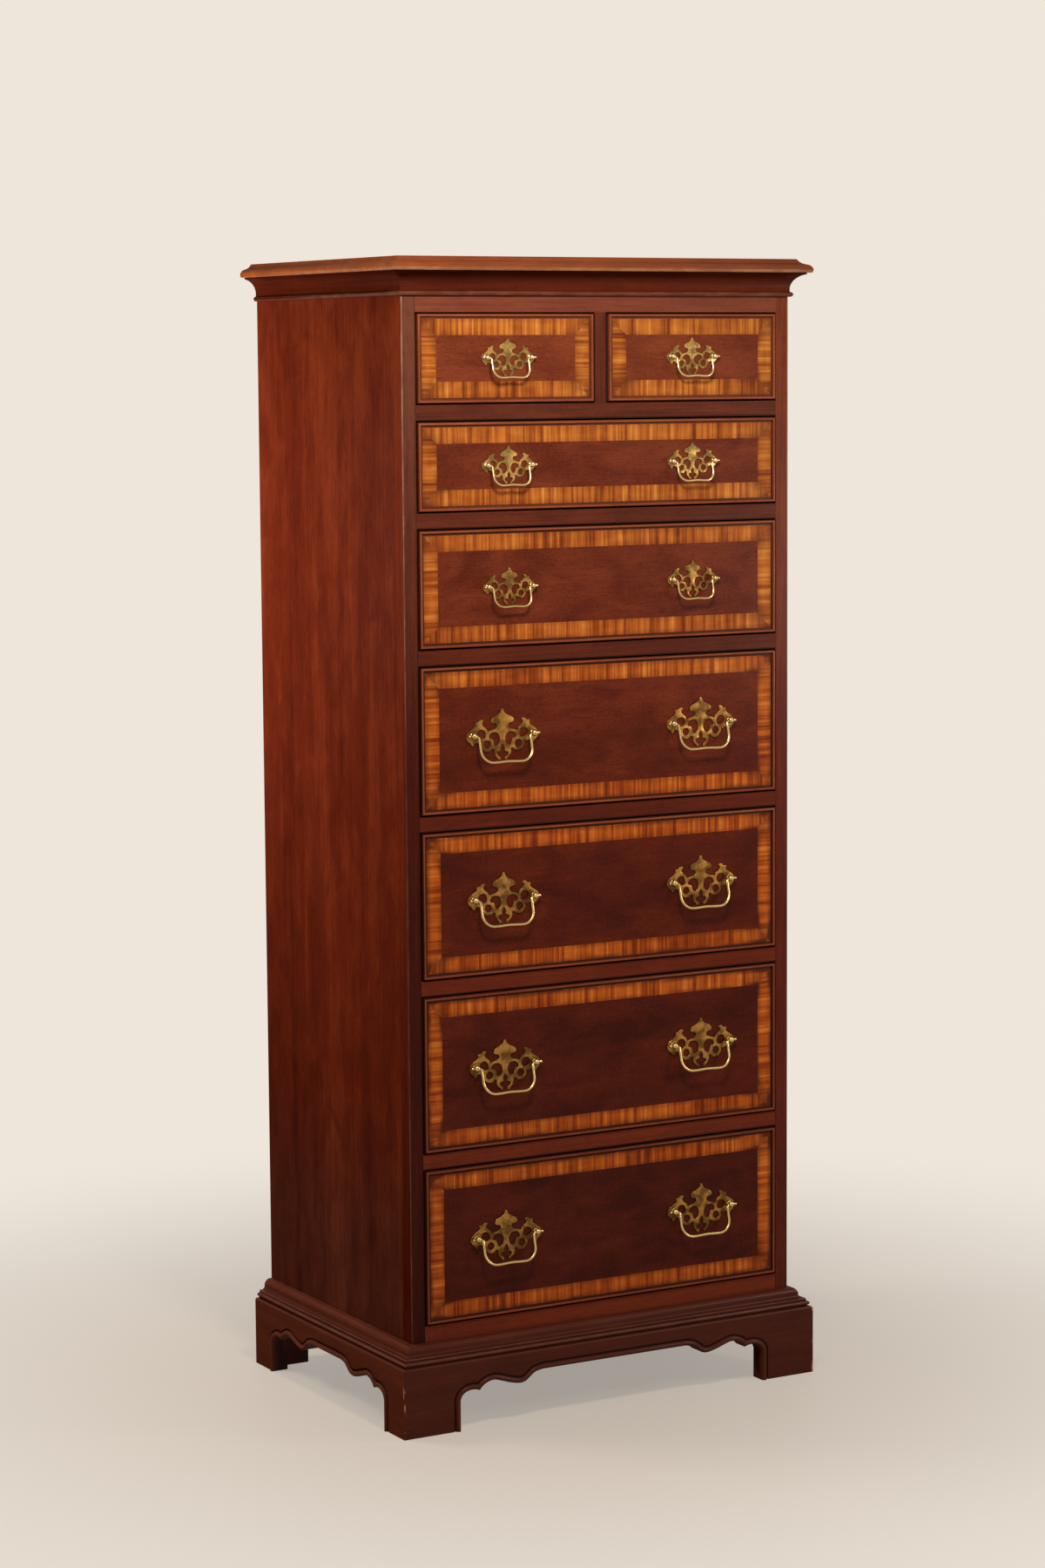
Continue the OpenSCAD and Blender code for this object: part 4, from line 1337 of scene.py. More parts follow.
@dataclass(frozen=True)
class Finishes:
    """Every finish on the chest."""

    case: Mahogany = Mahogany("case_mahogany")
    sides: Mahogany = Mahogany(
        "side_mahogany",
        # Painted light: a tint on the lowest part of the sides
        low=(0.95, 1.6, 2.4),
        light_by_height=0.14,
        figure=0.56,
        ribbon=0.30,
        mottle=0.44,
        streak=0.22,
    )
    # Shaded copy of the stile finish: front faces painted darker, with a painted sheen high up
    left_stile: Mahogany = Mahogany(
        "left_stile_mahogany",
        worn_and_painted_light=(0.60, 0.38, 0.29),
        front=(0.62, 0.64, 0.70),
        high=(1.1, 2.1, 3.8),
        light_by_height=0.40,
        streak=0.5,
        coat=0.12,
    )
    # Lit copy of the stile finish: front faces painted lighter, as lit from the right
    right_stile: Mahogany = Mahogany(
        "right_stile_mahogany",
        worn_and_painted_light=(0.60, 0.38, 0.29),
        front=(1.15, 1.12, 1.05),
        high=(1.15, 1.75, 2.0),
        light_by_height=0.16,
        streak=0.5,
        coat=0.22,
    )
    rails: Mahogany = Mahogany(
        "rail_mahogany",
        dark=(0.040, 0.0066, 0.0032),
        body=(0.100, 0.0160, 0.0060),
        light=(0.178, 0.0330, 0.0114),
        # Painted light and shade: front faces tinted, a painted sheen high up, the tone darker
        # high up
        front=(1.12, 0.95, 0.90),
        high=(1.5, 2.4, 2.8),
        light_by_height=-0.4,
        coat=0.16,
    )
    # A lighter copy of the rail finish: painted light on the top rail, which the cornice
    # shades
    lit_top_rail: Mahogany = Mahogany(
        "lit_top_rail_mahogany",
        dark=(0.090, 0.0170, 0.0080),
        body=(0.140, 0.0310, 0.0160),
        light=(0.240, 0.0600, 0.0270),
        coat=0.26,
    )
    mouldings: Mahogany = Mahogany(
        "moulding_mahogany",
        dark=(0.027, 0.0034, 0.0013),
        body=(0.058, 0.0076, 0.0024),
        light=(0.112, 0.0165, 0.0050),
        worn_and_painted_light=(0.22, 0.090, 0.045),
        rub_and_highlight_below=0.7,
        coat=0.10,
        streak=0.35,
    )
    base: Mahogany = Mahogany(
        "base_mahogany",
        dark=(0.056, 0.0130, 0.0062),
        body=(0.116, 0.0260, 0.0122),
        light=(0.200, 0.0500, 0.0205),
        # Painted shade: the base's front faces are darker than its sides
        front=(0.70, 0.60, 0.60),
        corner=(317.0 * MM, -218.5 * MM),
        worn_and_painted_light=(0.50, 0.21, 0.12),
        light_by_height=0.0,
        streak=0.3,
    )
    top: Mahogany = Mahogany(
        "top_mahogany",
        dark=(0.170, 0.0360, 0.0100),
        body=(0.320, 0.0740, 0.0190),
        light=(0.470, 0.1280, 0.0340),
        # Painted shade: the top's front faces are darker than its sides
        front=(0.64, 0.62, 0.64),
        worn_and_painted_light=(0.62, 0.38, 0.20),
        light_by_height=0.0,
    )
    beads: Mahogany = Mahogany(
        "bead_mahogany",
        dark=(0.115, 0.0200, 0.0075),
        body=(0.240, 0.0480, 0.0165),
        light=(0.400, 0.1050, 0.0340),
        worn_and_painted_light=(0.52, 0.26, 0.17),
        rub_and_highlight_below=0.9,
        # Painted shade on the upper part of the beads
        high=(0.80, 0.84, 0.90),
        light_by_height=0.16,
    )
    veneer: Mahogany = Mahogany(
        "figured_mahogany",
        # Painted sheen on the upper part of the field
        high=(1.0, 1.30, 1.55),
        light_by_height=0.34,
        figure=0.30,
        ribbon=0.05,
        mottle=0.62,
        speckle=0.34,
        streak=0.12,
        coat=0.16,
    )
    banding: Crossbanding = Crossbanding()
    poplar: PlainTimber = PlainTimber("poplar")
    ply: PlainTimber = PlainTimber("ply", (0.30, 0.19, 0.10), (0.50, 0.35, 0.19))
    plates: Brass = Brass("antique_brass")
    bails: Brass = Brass(
        "polished_brass",
        tarnish=(0.40, 0.280, 0.110),
        bright=(0.62, 0.470, 0.225),
        low_light_tint=(0.80, 0.73, 0.60),
        share=1.0,
        rough=0.24,
    )


@dataclass
class Case:
    """The upright case: sides, stiles, rails, back, top board and cornice."""

    planes: CasePlanes
    finishes: Finishes
    arris: float = 1.4 * MM
    inner_arris: float = 0.2 * MM
    rub_and_light_width: float = 2.6 * MM
    top_t: float = 18 * MM
    top_over: float = 24.5 * MM
    cornice_h: float = 32 * MM
    cornice_over: float = 18 * MM
    out_of_sight: float = 1.0

    def build(self, nodes: dict[str, bpy.types.Object]) -> None:
        """Builds and dresses the case.

        Args:
            nodes: the frame's nodes by name.
        """
        self._stiles()
        self._top_board()
        self._cornice()
        sides = self.finishes.sides.material(Grain.ALONG_Z)
        for name in ("left_side", "right_side"):
            lay_finish(nodes[name], sides)
        frames = ("top_frame", *(f"dust_frame_{i}" for i in range(1, 7)), "bottom_frame")
        for name in frames:
            lay_finish(nodes[name], self._lipped(name, 2).material())
        divider = replace(self._lipped("centre_divider", 0), grain=Grain.ALONG_Z)
        lay_finish(nodes["centre_divider"], divider.material())
        lay_finish(nodes["back_panel"], self.finishes.ply.material(Grain.ALONG_Z))

    def _lipped(self, node: str, axis: int) -> LippedTimber:
        """Works out the finish of a frame or of the divider.

        The upper edge of the top frame and the lower one of the bottom frame are covered,
        so they are taken to lie out of sight.

        Args:
            node: its node.
            axis: the axis across its edges, 0 or 2.

        Returns:
            The finish.
        """
        low, high = (corner[axis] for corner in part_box(node))
        lipping = self.finishes.rails
        if node == "top_frame":
            low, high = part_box("drawer_1l_front")[1].z, high + self.out_of_sight
            lipping = self.finishes.lit_top_rail
        if node == "bottom_frame":
            low, high = low - self.out_of_sight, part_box("drawer_7_front")[0].z
        poplar, depth = self.finishes.poplar, self.planes.stile_back
        return LippedTimber(f"{node}_wood", lipping, poplar, depth, (low, high))

    def _stiles(self) -> None:
        """Builds both stiles, each with its outer front arris rounded.

        At distance d from that arris the rubbing, with its painted highlight, is
        1.1 - 1.1 d / rub_and_light_width, and beside the drawers it falls to -1 as painted
        shade in the gap.
        """
        planes, rub_and_light_w = self.planes, self.rub_and_light_width
        finishes = {Side.LEFT: self.finishes.left_stile, Side.RIGHT: self.finishes.right_stile}
        for side in Side:
            out, inner = planes.half_width, planes.half_width - planes.stile_width
            corners = [
                (inner, planes.stile_back),
                (inner, planes.front),
                (inner + rub_and_light_w, planes.front),
                (out - rub_and_light_w, planes.front),
                (out, planes.front),
                (out, planes.front + rub_and_light_w),
                (out, planes.stile_back),
            ]
            radii = [0, self.inner_arris, 0, 0, self.arris, 0, 0]
            outline = rounded(np.array(corners), radii, steps=7)
            from_arris = np.linalg.norm(outline - [out, planes.front], axis=1)
            # Rubbed arris with a painted highlight
            rub = np.clip(1.1 - 1.1 * from_arris / rub_and_light_w, 0, 1)
            # Painted shade beside the drawers, in the gap
            rub -= np.clip(1.0 - 2 * (outline[:, 0] - inner) / rub_and_light_w, 0, 1)
            name = f"{side.name.lower()}_stile"
            piece = Piece(f"{name}_board")
            piece.prism(outline * [side.value, 1], planes.foot, planes.top, rub)
            finish = finishes[side].material(Grain.ALONG_Z)
            dress(piece.make(finish), "carcase", [name])

    def _top_board(self) -> None:
        """Builds the top board with its moulded edge on the front and both sides.

        The edge's section is drawn in millimetres, out from the case and up from its top:
        an ovolo, a fillet, a cove and the underside.
        """
        t, over = self.top_t / MM, self.top_over / MM
        corners = np.vstack(
            [
                bow((over - 16.3, t), (over - 10.3, t - 6), 14),
                [(over - 8.2, t - 6.6)],
                bow((over - 8, t - 7), (over, t - 15), -8.2, 12),
                [(over - 1.2, 0.0), (over - 6, 0.0)],
            ]
        )
        edge = eased(corners, (0, -2), 0.5)
        bases, leans = self.planes.ring()
        lift = standing_on(self.planes.top)
        piece = Piece("top_board_slab")
        # Painted highlight on the edge's arrises and painted shade in its hollows, weaker
        # along the lower arris
        wear_and_painted_light = rubbed(edge, True) * np.where(edge[:, 1] < 2 * MM, 0.45, 1.0)
        piece.carry(edge, bases, leans, lift, wear_and_painted_light, closed=False)
        for out, up in (edge[0], edge[-1]):
            plan = bases + out * leans
            flat = lift(np.c_[plan, np.full(4, up)])
            piece.face(flat, plan)
        left = bases[0] + edge[:, :1] * leans[0]
        right = bases[-1] + edge[::-1, :1] * leans[-1]
        rim = np.c_[np.vstack([left, right]), np.r_[edge[:, 1], edge[::-1, 1]]]
        piece.face(lift(rim), rim[:, ::2])
        slab = piece.make(self.finishes.top.material(Grain.ALONG_X))
        dress(slab, "carcase", ["top_board"])

    def _cornice(self) -> None:
        """Builds the cornice moulding: fillet, cove and bead, drawn in millimetres."""
        h, over = self.cornice_h / MM, self.cornice_over / MM
        corners = np.vstack(
            [
                [(0, h), (over, h)],
                bow((over, h - 2.2), (1.6, 8), 20, 22),
                bow((1.8, 6.8), (1.8, 0.4), -3.2, 14),
                [(0, 0.4)],
            ]
        )
        outline = eased(corners, (1, 2), 0.4)
        piece = Piece("cornice_lengths", shift=3.1)
        lift = standing_on(self.planes.top - self.cornice_h)
        # Painted shade under the top board; elsewhere arrises get a painted highlight and
        # hollows painted shade
        shaded_under_top = outline[:, 1] > self.cornice_h - 3 * MM
        wear_and_painted_light = np.where(shaded_under_top, -0.7, rubbed(outline))
        piece.carry(outline, *self.planes.ring(), lift, wear_and_painted_light)
        finish = self.finishes.mouldings.material(Grain.BY_MAP)
        dress(piece.make(finish), "carcase", ["cornice_moulding"])


# Half of the scroll of a base board in millimetres: the foot's edge, then its curves
SCROLL_FOOT = ((0, 0), (0, 14), (0, 28))
SCROLL_START = ((0, 41), (3, 47), (9, 51), (16, 52.7), (23, 52.2), (28.5, 50.5))
SCROLL_END = (
    (28.5, 50.5), (34, 56), (42, 60), (51, 61.2), (62, 58.2), (75, 54), (88, 51.5),
    (97, 52.8), (104, 57.5), (112, 63), (124, 65.5),
)


@dataclass(frozen=True)
class ApronPlan:
    """Where one scrolled base board lies and how its ends are cut."""

    name: str
    length: float
    foot: float
    mitres: tuple[float, float]
    place: Place


@dataclass
class Base:
    """The bracket base: moulding, three scrolled boards, deck and rear feet."""

    planes: CasePlanes
    finishes: Finishes
    height: float = 92 * MM
    over: float = 25.5 * MM
    board_t: float = 22 * MM
    mould_h: float = 25 * MM
    front_foot: float = 83 * MM
    side_foot: float = 54 * MM
    bead_w: float = 7 * MM
    bead_proud: float = 2.5 * MM
    quirk_w: float = 2.5 * MM
    quirk_d: float = 1.5 * MM
    lip: float = 3 * MM
    ease: float = 0.3 * MM

    def build(self, nodes: dict[str, bpy.types.Object]) -> None:
        """Builds and dresses the base.

        Args:
            nodes: the frame's nodes by name.
        """
        self._moulding()
        face = self.planes.front - self.over
        side_x = self.planes.half_width + self.over
        depth = self.planes.back - face
        middle = (face + self.planes.back) / 2

        def front(p: np.ndarray) -> np.ndarray:
            """Puts a board's length on x and its depth on y."""
            return np.stack([p[..., 0], face + p[..., 1], p[..., 2]], -1)

        def side(sign: int) -> Place:
            """Returns a place with a board's length on -y and its depth inwards."""
            return lambda p: np.stack(
                [sign * (side_x - p[..., 1]), middle - p[..., 0], p[..., 2]], -1
            )

        plans = [ApronPlan("front_apron", 2 * side_x, self.front_foot, (1, 1), front)]
        for end in Side:
            name = f"{end.name.lower()}_apron"
            place = side(end.value)
            plans.append(ApronPlan(name, depth, self.side_foot, (0, 1), place))
        finish = self.finishes.base.material(Grain.BY_MAP)
        for plan in plans:
            self._apron(plan, finish)
        hidden = self.finishes.base.material(Grain.ALONG_X)
        lay_finish(nodes["base_deck"], hidden)
        lay_finish(nodes["rear_base"], hidden)

    def _moulding(self) -> None:
        """Builds the base moulding, drawn in millimetres: ovolo, cove, fillet, astragal.

        The front of its top and both corners of the fillet are eased.
        """
        h, over = self.mould_h / MM, self.over / MM
        corners = np.vstack(
            [
                [(0, h), (over - 23.5, h)],
                bow((over - 23.5, h), (over - 14.5, h - 9), -9, 14)[1:],
                bow((over - 14.5, h - 10.6), (over - 8.2, h - 14.4), 5, 10),
                [(over - 7, h - 14.4), (over - 7, h - 17.6)],
                bow((over - 5.8, h - 18), (over - 5.8, h - 23.2), -2.6, 14),
                [(over - 5.8, 0), (0, 0)],
            ]
        )
        outline = eased(corners, (1, 25, 26), 0.45)
        piece = Piece("base_moulding_lengths", shift=5.3)
        lift = standing_on(self.height)
        # Painted highlight on the moulding's arrises and painted shade in its hollows
        piece.carry(outline, *self.planes.ring(), lift, rubbed(outline))
        finish = self.finishes.base.material(Grain.BY_MAP)
        dress(piece.make(finish), "carcase", ["base_moulding"])

    def _scroll(self, plan: ApronPlan) -> np.ndarray:
        """Draws the scrolled edge from foot to foot.

        Args:
            plan: the board's plan.

        Returns:
            The path, as length and height, (N, 2).
        """
        start, end = np.array(SCROLL_START, float), np.array(SCROLL_END, float)
        curves = [smooth_curve(start, 8)[:-1], smooth_curve(end, 8)]
        half = np.vstack([SCROLL_FOOT, *curves])
        left = half * MM + [plan.foot - plan.length / 2, 0]
        return np.vstack([left, left[::-1] * [-1, 1]])

    def _apron(self, plan: ApronPlan, finish: bpy.types.Material) -> None:
        """Builds one board: faces round the scroll, a rounded bead and a quirk along it.

        A point of the edge at inset w and height h over the face lies at the scroll path moved
        by w into the wood, at depth -h.

        Args:
            plan: the board's plan.
            finish: its finish.
        """
        path = self._scroll(plan)
        bead = bow((0, 0), (self.bead_w, 0), -0.62 * self.bead_w, 12)
        bead[:, 1] *= self.bead_proud / bead[:, 1].max()
        far = self.bead_w + self.quirk_w
        section = np.vstack(
            [
                [(0, -self.board_t), (0, -self.board_t / 2)],
                bead,
                [(self.bead_w, -self.quirk_d), (far, -self.quirk_d), (far, -self.ease)],
                [(far + self.ease, 0)],
            ]
        )
        rows = np.stack([beside(path, w) for w in section[:, 0]])
        depth = np.broadcast_to(-section[:, 1:], rows.shape[:2])
        edge = np.stack([rows[..., 0], depth, rows[..., 1]], -1)
        run = np.r_[0, np.cumsum(np.linalg.norm(np.diff(path, axis=0), axis=1))]
        girth = np.r_[0, np.cumsum(np.linalg.norm(np.diff(section, axis=0), axis=1))]
        uv = np.stack(np.broadcast_arrays(run[None], girth[:, None]), -1)
        piece = Piece(f"{plan.name}_board", shift=7.7 + plan.length)
        # Painted shade in the quirk and a painted highlight on the bead's crest
        level = [-self.quirk_d, 0, 0.6 * self.bead_proud, self.bead_proud]
        wear_and_painted_light = np.interp(section[:, 1], level, [-1, 0, 0, 0.45])
        piece.grid(plan.place(edge), uv, wear_and_painted_light[:, None])
        self._apron_faces(piece, plan, edge)
        dress(piece.make(finish), "carcase", [plan.name])

    def _apron_faces(self, piece: Piece, plan: ApronPlan, edge: np.ndarray) -> None:
        """Closes a board round its scrolled edge: front, back, top, feet and ends.

        Args:
            piece: the piece being built.
            plan: the board's plan.
            edge: the scrolled edge, from the back to the front face, (W, N, 3).
        """
        half, lip, t, h = plan.length / 2, self.lip, self.board_t, self.height
        lip_arc = bow((0, h - lip), (lip, h), -lip, 8)
        shoulder = np.vstack([lip_arc, [(t, h)]])
        ends = []
        for sign, mitre in zip((-1, 1), plan.mitres):
            along = sign * (half - mitre * shoulder[:, 0])
            ends.append(np.c_[along, shoulder])
        top = np.stack(ends)
        # Rubbing with a painted highlight along the board's top lip
        lip_wear_and_highlight = 0.6 * np.sin(np.linspace(0, np.pi, len(shoulder)))
        piece.grid(plan.place(top), top[..., ::2], lip_wear_and_highlight[None])
        for depth, row, shoulder_at in ((0.0, edge[-1], 0), (t, edge[0], -1)):
            low = [
                [-half + plan.mitres[0] * depth, depth, 0],
                [half - plan.mitres[1] * depth, depth, 0],
            ]
            high = top[::-1, shoulder_at]
            outline = np.vstack([low[0], row, low[1], high])
            piece.face(plan.place(outline), outline[:, ::2])
        for sign, mitre, column in ((-1, plan.mitres[0], 0), (1, plan.mitres[1], -1)):
            heel = np.array([[sign * (half - mitre * t), t, 0], [sign * half, 0, 0]])
            foot = np.vstack([edge[:, column], heel[::-1]])
            piece.face(plan.place(foot), foot[:, :2])
            end = np.vstack([heel, top[(sign + 1) // 2]])
            piece.face(plan.place(end), end[:, 1:])


@dataclass(frozen=True)
class HandleSize:
    """Sizes of a drop handle: the span of its posts, radii, and the drop of its bail."""

    span: float
    ball: float
    rod: float
    drop: float
    corner: float
    tip: float


@dataclass(frozen=True)
class HandlePlan:
    """Place and size of one drop handle."""

    tag: str
    x: float
    z: float
    size: HandleSize


# The span in millimetres that the plate is drawn for, and in millimetres from its middle
# the right half of its outline from the top down
PLATE_SPAN = 89.5
PLATE_HALF = (
    (0, 33.5), (1.6, 32.5), (2.3, 30.2), (4, 27.6), (7.2, 25.6), (10.4, 24.2), (13.6, 22.8),
    (16, 20.6), (16.8, 17.8), (15.6, 15.6), (12.6, 14.8), (10.2, 14.4), (8.6, 12.8),
    (8.2, 10.6), (9.6, 8.4), (12.6, 7), (16.5, 6), (20.6, 4.8), (22.3, 4.6), (22.9, 6.4),
    (24.6, 8.8), (27.4, 10.8), (29.6, 12.8), (30.4, 15), (29.6, 17.2), (28.2, 19.2),
    (30.6, 20.4), (33.4, 19.8), (35.2, 17.8), (37.4, 17.4), (40.4, 17), (39.8, 14),
    (40.6, 11.8), (43.4, 9.6), (47.4, 7.2), (50.8, 4.4), (52.8, 1.4), (53.4, -1),
    (52.6, -4.4), (50.2, -7.6), (47.6, -9.6), (45.4, -12.6), (43.4, -13.4), (42.2, -10.6),
    (40, -8.8), (37, -9.4), (34.6, -10.8), (32.4, -9.2), (32.4, -12), (31.8, -15),
    (30, -18.2), (27, -20.8), (23.2, -21.9), (19.2, -21.2), (16.6, -19.4), (14.6, -18.2),
    (12.4, -19.4), (12.6, -22.4), (11.8, -26), (9.6, -29.2), (7.4, -31.2), (7, -32.2),
    (5.6, -33), (3.9, -32.6), (3.3, -31), (3.9, -29.6), (5.8, -28.4), (7.6, -26.6),
    (8.2, -24.4), (7, -22.6), (5, -22.2), (3.4, -21.6), (2.8, -20), (3.4, -18), (2.6, -15.6),
    (1.4, -13.6), (0, -11.8),
)
# Its holes on the right: beside the middle, further out, and a round one below them
PLATE_SCROLL_HOLE = (
    (12.6, 3.3), (16.2, 2.6), (19.2, 0.4), (20.4, -2.4), (19.6, -4.6), (16.8, -5),
    (14.6, -6.6), (13.6, -9.4), (12.8, -12.6), (11, -14.4), (8.4, -14), (5.8, -11.8),
    (4.2, -8.4), (4, -4.4), (5.4, -0.4), (8.4, 2.4),
)
PLATE_WING_HOLE = (
    (24.9, -0.8), (25.2, 2.6), (27.4, 5.8), (30.8, 7.4), (34.2, 6.8), (37.2, 4.4),
    (38.4, 1.2), (36.8, -2.4), (33.2, -4.2), (29, -4.8), (26, -3.6),
)
PLATE_EYE, PLATE_EYE_R = (23.4, -12.4), 5.2

SMALL = HandleSize(65 * MM, 3.7 * MM, 1.5 * MM, 26.5 * MM, 12.5 * MM, 1.5 * MM)
LARGE = HandleSize(89 * MM, 4.4 * MM, 1.9 * MM, 35.5 * MM, 17 * MM, 2 * MM)
# The drawers that carry each size
SMALL_ROWS = ("1l", "1r", "2", "3")
LARGE_ROWS = ("4", "5", "6", "7")


@dataclass
class Handles:
    """The brass of one drawer: pierced plates, posts and bails, which lean in degrees."""

    drawer: str
    face: float
    core_back: float
    plans: list[HandlePlan]
    finishes: Finishes
    plate_t: float = 1.5 * MM
    plate_bevel: float = 0.3 * MM
    pivot_out: float = 6.5 * MM
    pin: float = 1.2 * MM
    clear: float = 0.35 * MM
    grip_rise: float = 0.7 * MM
    lean: float = 15.0
    bolt: float = 2 * MM
    nut_flats: float = 9 * MM
    nut_t: float = 3.5 * MM

    def build(self) -> None:
        """Builds and dresses the plates, posts and bails."""
        node, body = f"{self.drawer}_hardware", self.drawer
        plates = self.finishes.plates.material()
        dress(self._plates(plates), body, [node])
        posts = Piece(f"{self.drawer}_posts")
        for plan in self.plans:
            for sign in (-1, 1):
                self._post(posts, plan, plan.x + sign * plan.size.span / 2)
        dress(posts.make(self.finishes.bails.material()), body, [node])
        for plan in self.plans:
            self._bail(plan)

    def _plates(self, finish: bpy.types.Material) -> bpy.types.Object:
        """Cuts the pierced plates, each scaled to its handle's span.

        Args:
            finish: their finish.

        Returns:
            The plates as one object.
        """
        outline = np.array(PLATE_HALF)
        outline = np.vstack([outline, outline[-2:0:-1] * [-1, 1]])
        outline = smooth_curve(outline, 3, closed=True)
        scroll = smooth_curve(np.array(PLATE_SCROLL_HOLE), 3, closed=True)
        wing = smooth_curve(np.array(PLATE_WING_HOLE), 3, closed=True)
        turn = np.linspace(0, 2 * math.pi, 28, endpoint=False)[:, None]
        eye = PLATE_EYE + PLATE_EYE_R * np.hstack([np.cos(turn), np.sin(turn)])
        cuts = []
        for plan in self.plans:
            size = plan.size.span / PLATE_SPAN
            middle = np.array([plan.x, plan.z])
            cuts.append(wound(outline, 1) * size + middle)
            for hole in (scroll, wing, eye):
                for sign in (-1, 1):
                    cuts.append(wound(hole * [sign, 1], -1) * size + middle)
        name, front = f"{self.drawer}_plates", self.face - self.plate_t
        return cut_from_sheet(name, cuts, front, self.plate_t, self.plate_bevel, finish)

    def _post(self, piece: Piece, plan: HandlePlan, x: float) -> None:
        """Turns one post with its ball head and collar, its bolt end and its nut.

        The head and the collar are drawn in shares of the ball's radius.

        Args:
            piece: the piece it goes into.
            plan: the handle.
            x: where its axis is.
        """
        r, axis_y = plan.size.ball, self.face - self.pivot_out
        plate_y = self.face - self.plate_t
        polar = np.linspace(0, 0.80 * math.pi, 16)
        ball = np.c_[r * np.sin(polar), axis_y - r * np.cos(polar)]
        neck = [(0.66 * r, axis_y + 0.90 * r), (0.84 * r, axis_y + 0.98 * r)]
        foot = [(0.88 * r, plate_y - 0.35 * MM), (0.80 * r, plate_y), (0, plate_y)]
        centre = Vector((x, 0, plan.z))
        piece.revolve(np.vstack([ball, neck, foot]), centre, sides=28)
        back, end = self.core_back, self.core_back + self.nut_t
        tip = end + 2 * MM
        shank = [(0, back), (self.bolt, back), (self.bolt, tip - 0.5 * MM)]
        shank += [(self.bolt - 0.5 * MM, tip), (0, tip)]
        piece.revolve(np.array(shank), centre, sides=16)
        flat = self.nut_flats / 2 / math.cos(math.pi / 6)
        nut = [(self.bolt, back), (flat, back), (flat, end - 0.4 * MM)]
        nut += [(flat - 0.6 * MM, end), (self.bolt, end), (self.bolt, back)]
        piece.revolve(np.array(nut), centre, sides=6)

    def _bail(self, plan: HandlePlan) -> None:
        """Bends one bail: ball tips, pins through the posts, legs, round corners and a grip
        that rises by half the grip's rise times (1 - cos) towards its middle.

        Args:
            plan: the handle.
        """
        size = plan.size
        knob_n, elbow_n, corner_n, grip_n = 10, 9, 16, 9
        leg = size.span / 2 - size.ball - self.clear - size.rod
        tip = size.span / 2 + size.ball + self.clear + size.tip
        elbow, c, drop = 1.2 * size.rod, size.corner, size.drop
        polar = np.linspace(0, 0.78 * math.pi, knob_n)
        knob = np.c_[-tip - size.tip * np.cos(polar), 0 * polar]
        flat = np.linspace(-leg + c, 0, grip_n)[1:]
        rise = 0.5 * self.grip_rise * (1 - np.cos(np.pi * (1 - flat / flat[0])))
        half = np.vstack(
            [
                knob,
                [(-leg - elbow - 1 * MM, 0)],
                bow((-leg - elbow, 0), (-leg, -elbow), elbow, elbow_n),
                [(-leg, -0.5 * (drop - c))],
                bow((-leg, -drop + c), (-leg + c, -drop), c, corner_n),
                np.c_[flat, rise - drop],
            ]
        )
        girth = np.full(len(half), size.rod)
        girth[:knob_n] = size.tip * np.sin(polar)
        girth[knob_n] = self.pin
        bend = slice(knob_n + 1, knob_n + 1 + elbow_n)
        girth[bend] = np.linspace(self.pin, size.rod, elbow_n)
        path = np.vstack([half, half[-2::-1] * [-1, 1]])
        radii = np.r_[girth, girth[-2::-1]]
        lean = math.radians(self.lean)
        x = plan.x + path[:, 0]
        y = self.face - self.pivot_out + path[:, 1] * math.sin(lean)
        z = plan.z + path[:, 1] * math.cos(lean)
        piece = Piece(f"bail_{plan.tag}_rod")
        side = np.array([0, math.cos(lean), -math.sin(lean)])
        piece.tube(np.stack([x, y, z], 1), radii, side)
        rod = piece.make(self.finishes.bails.material(), crease=60.0)
        dress(rod, f"bail_{plan.tag}", [f"bail_{plan.tag}"])


def wound(outline: np.ndarray, way: int) -> np.ndarray:
    """Returns an outline that runs anticlockwise for way 1 and clockwise for way -1."""
    return outline if turned_area(outline) * way > 0 else outline[::-1]


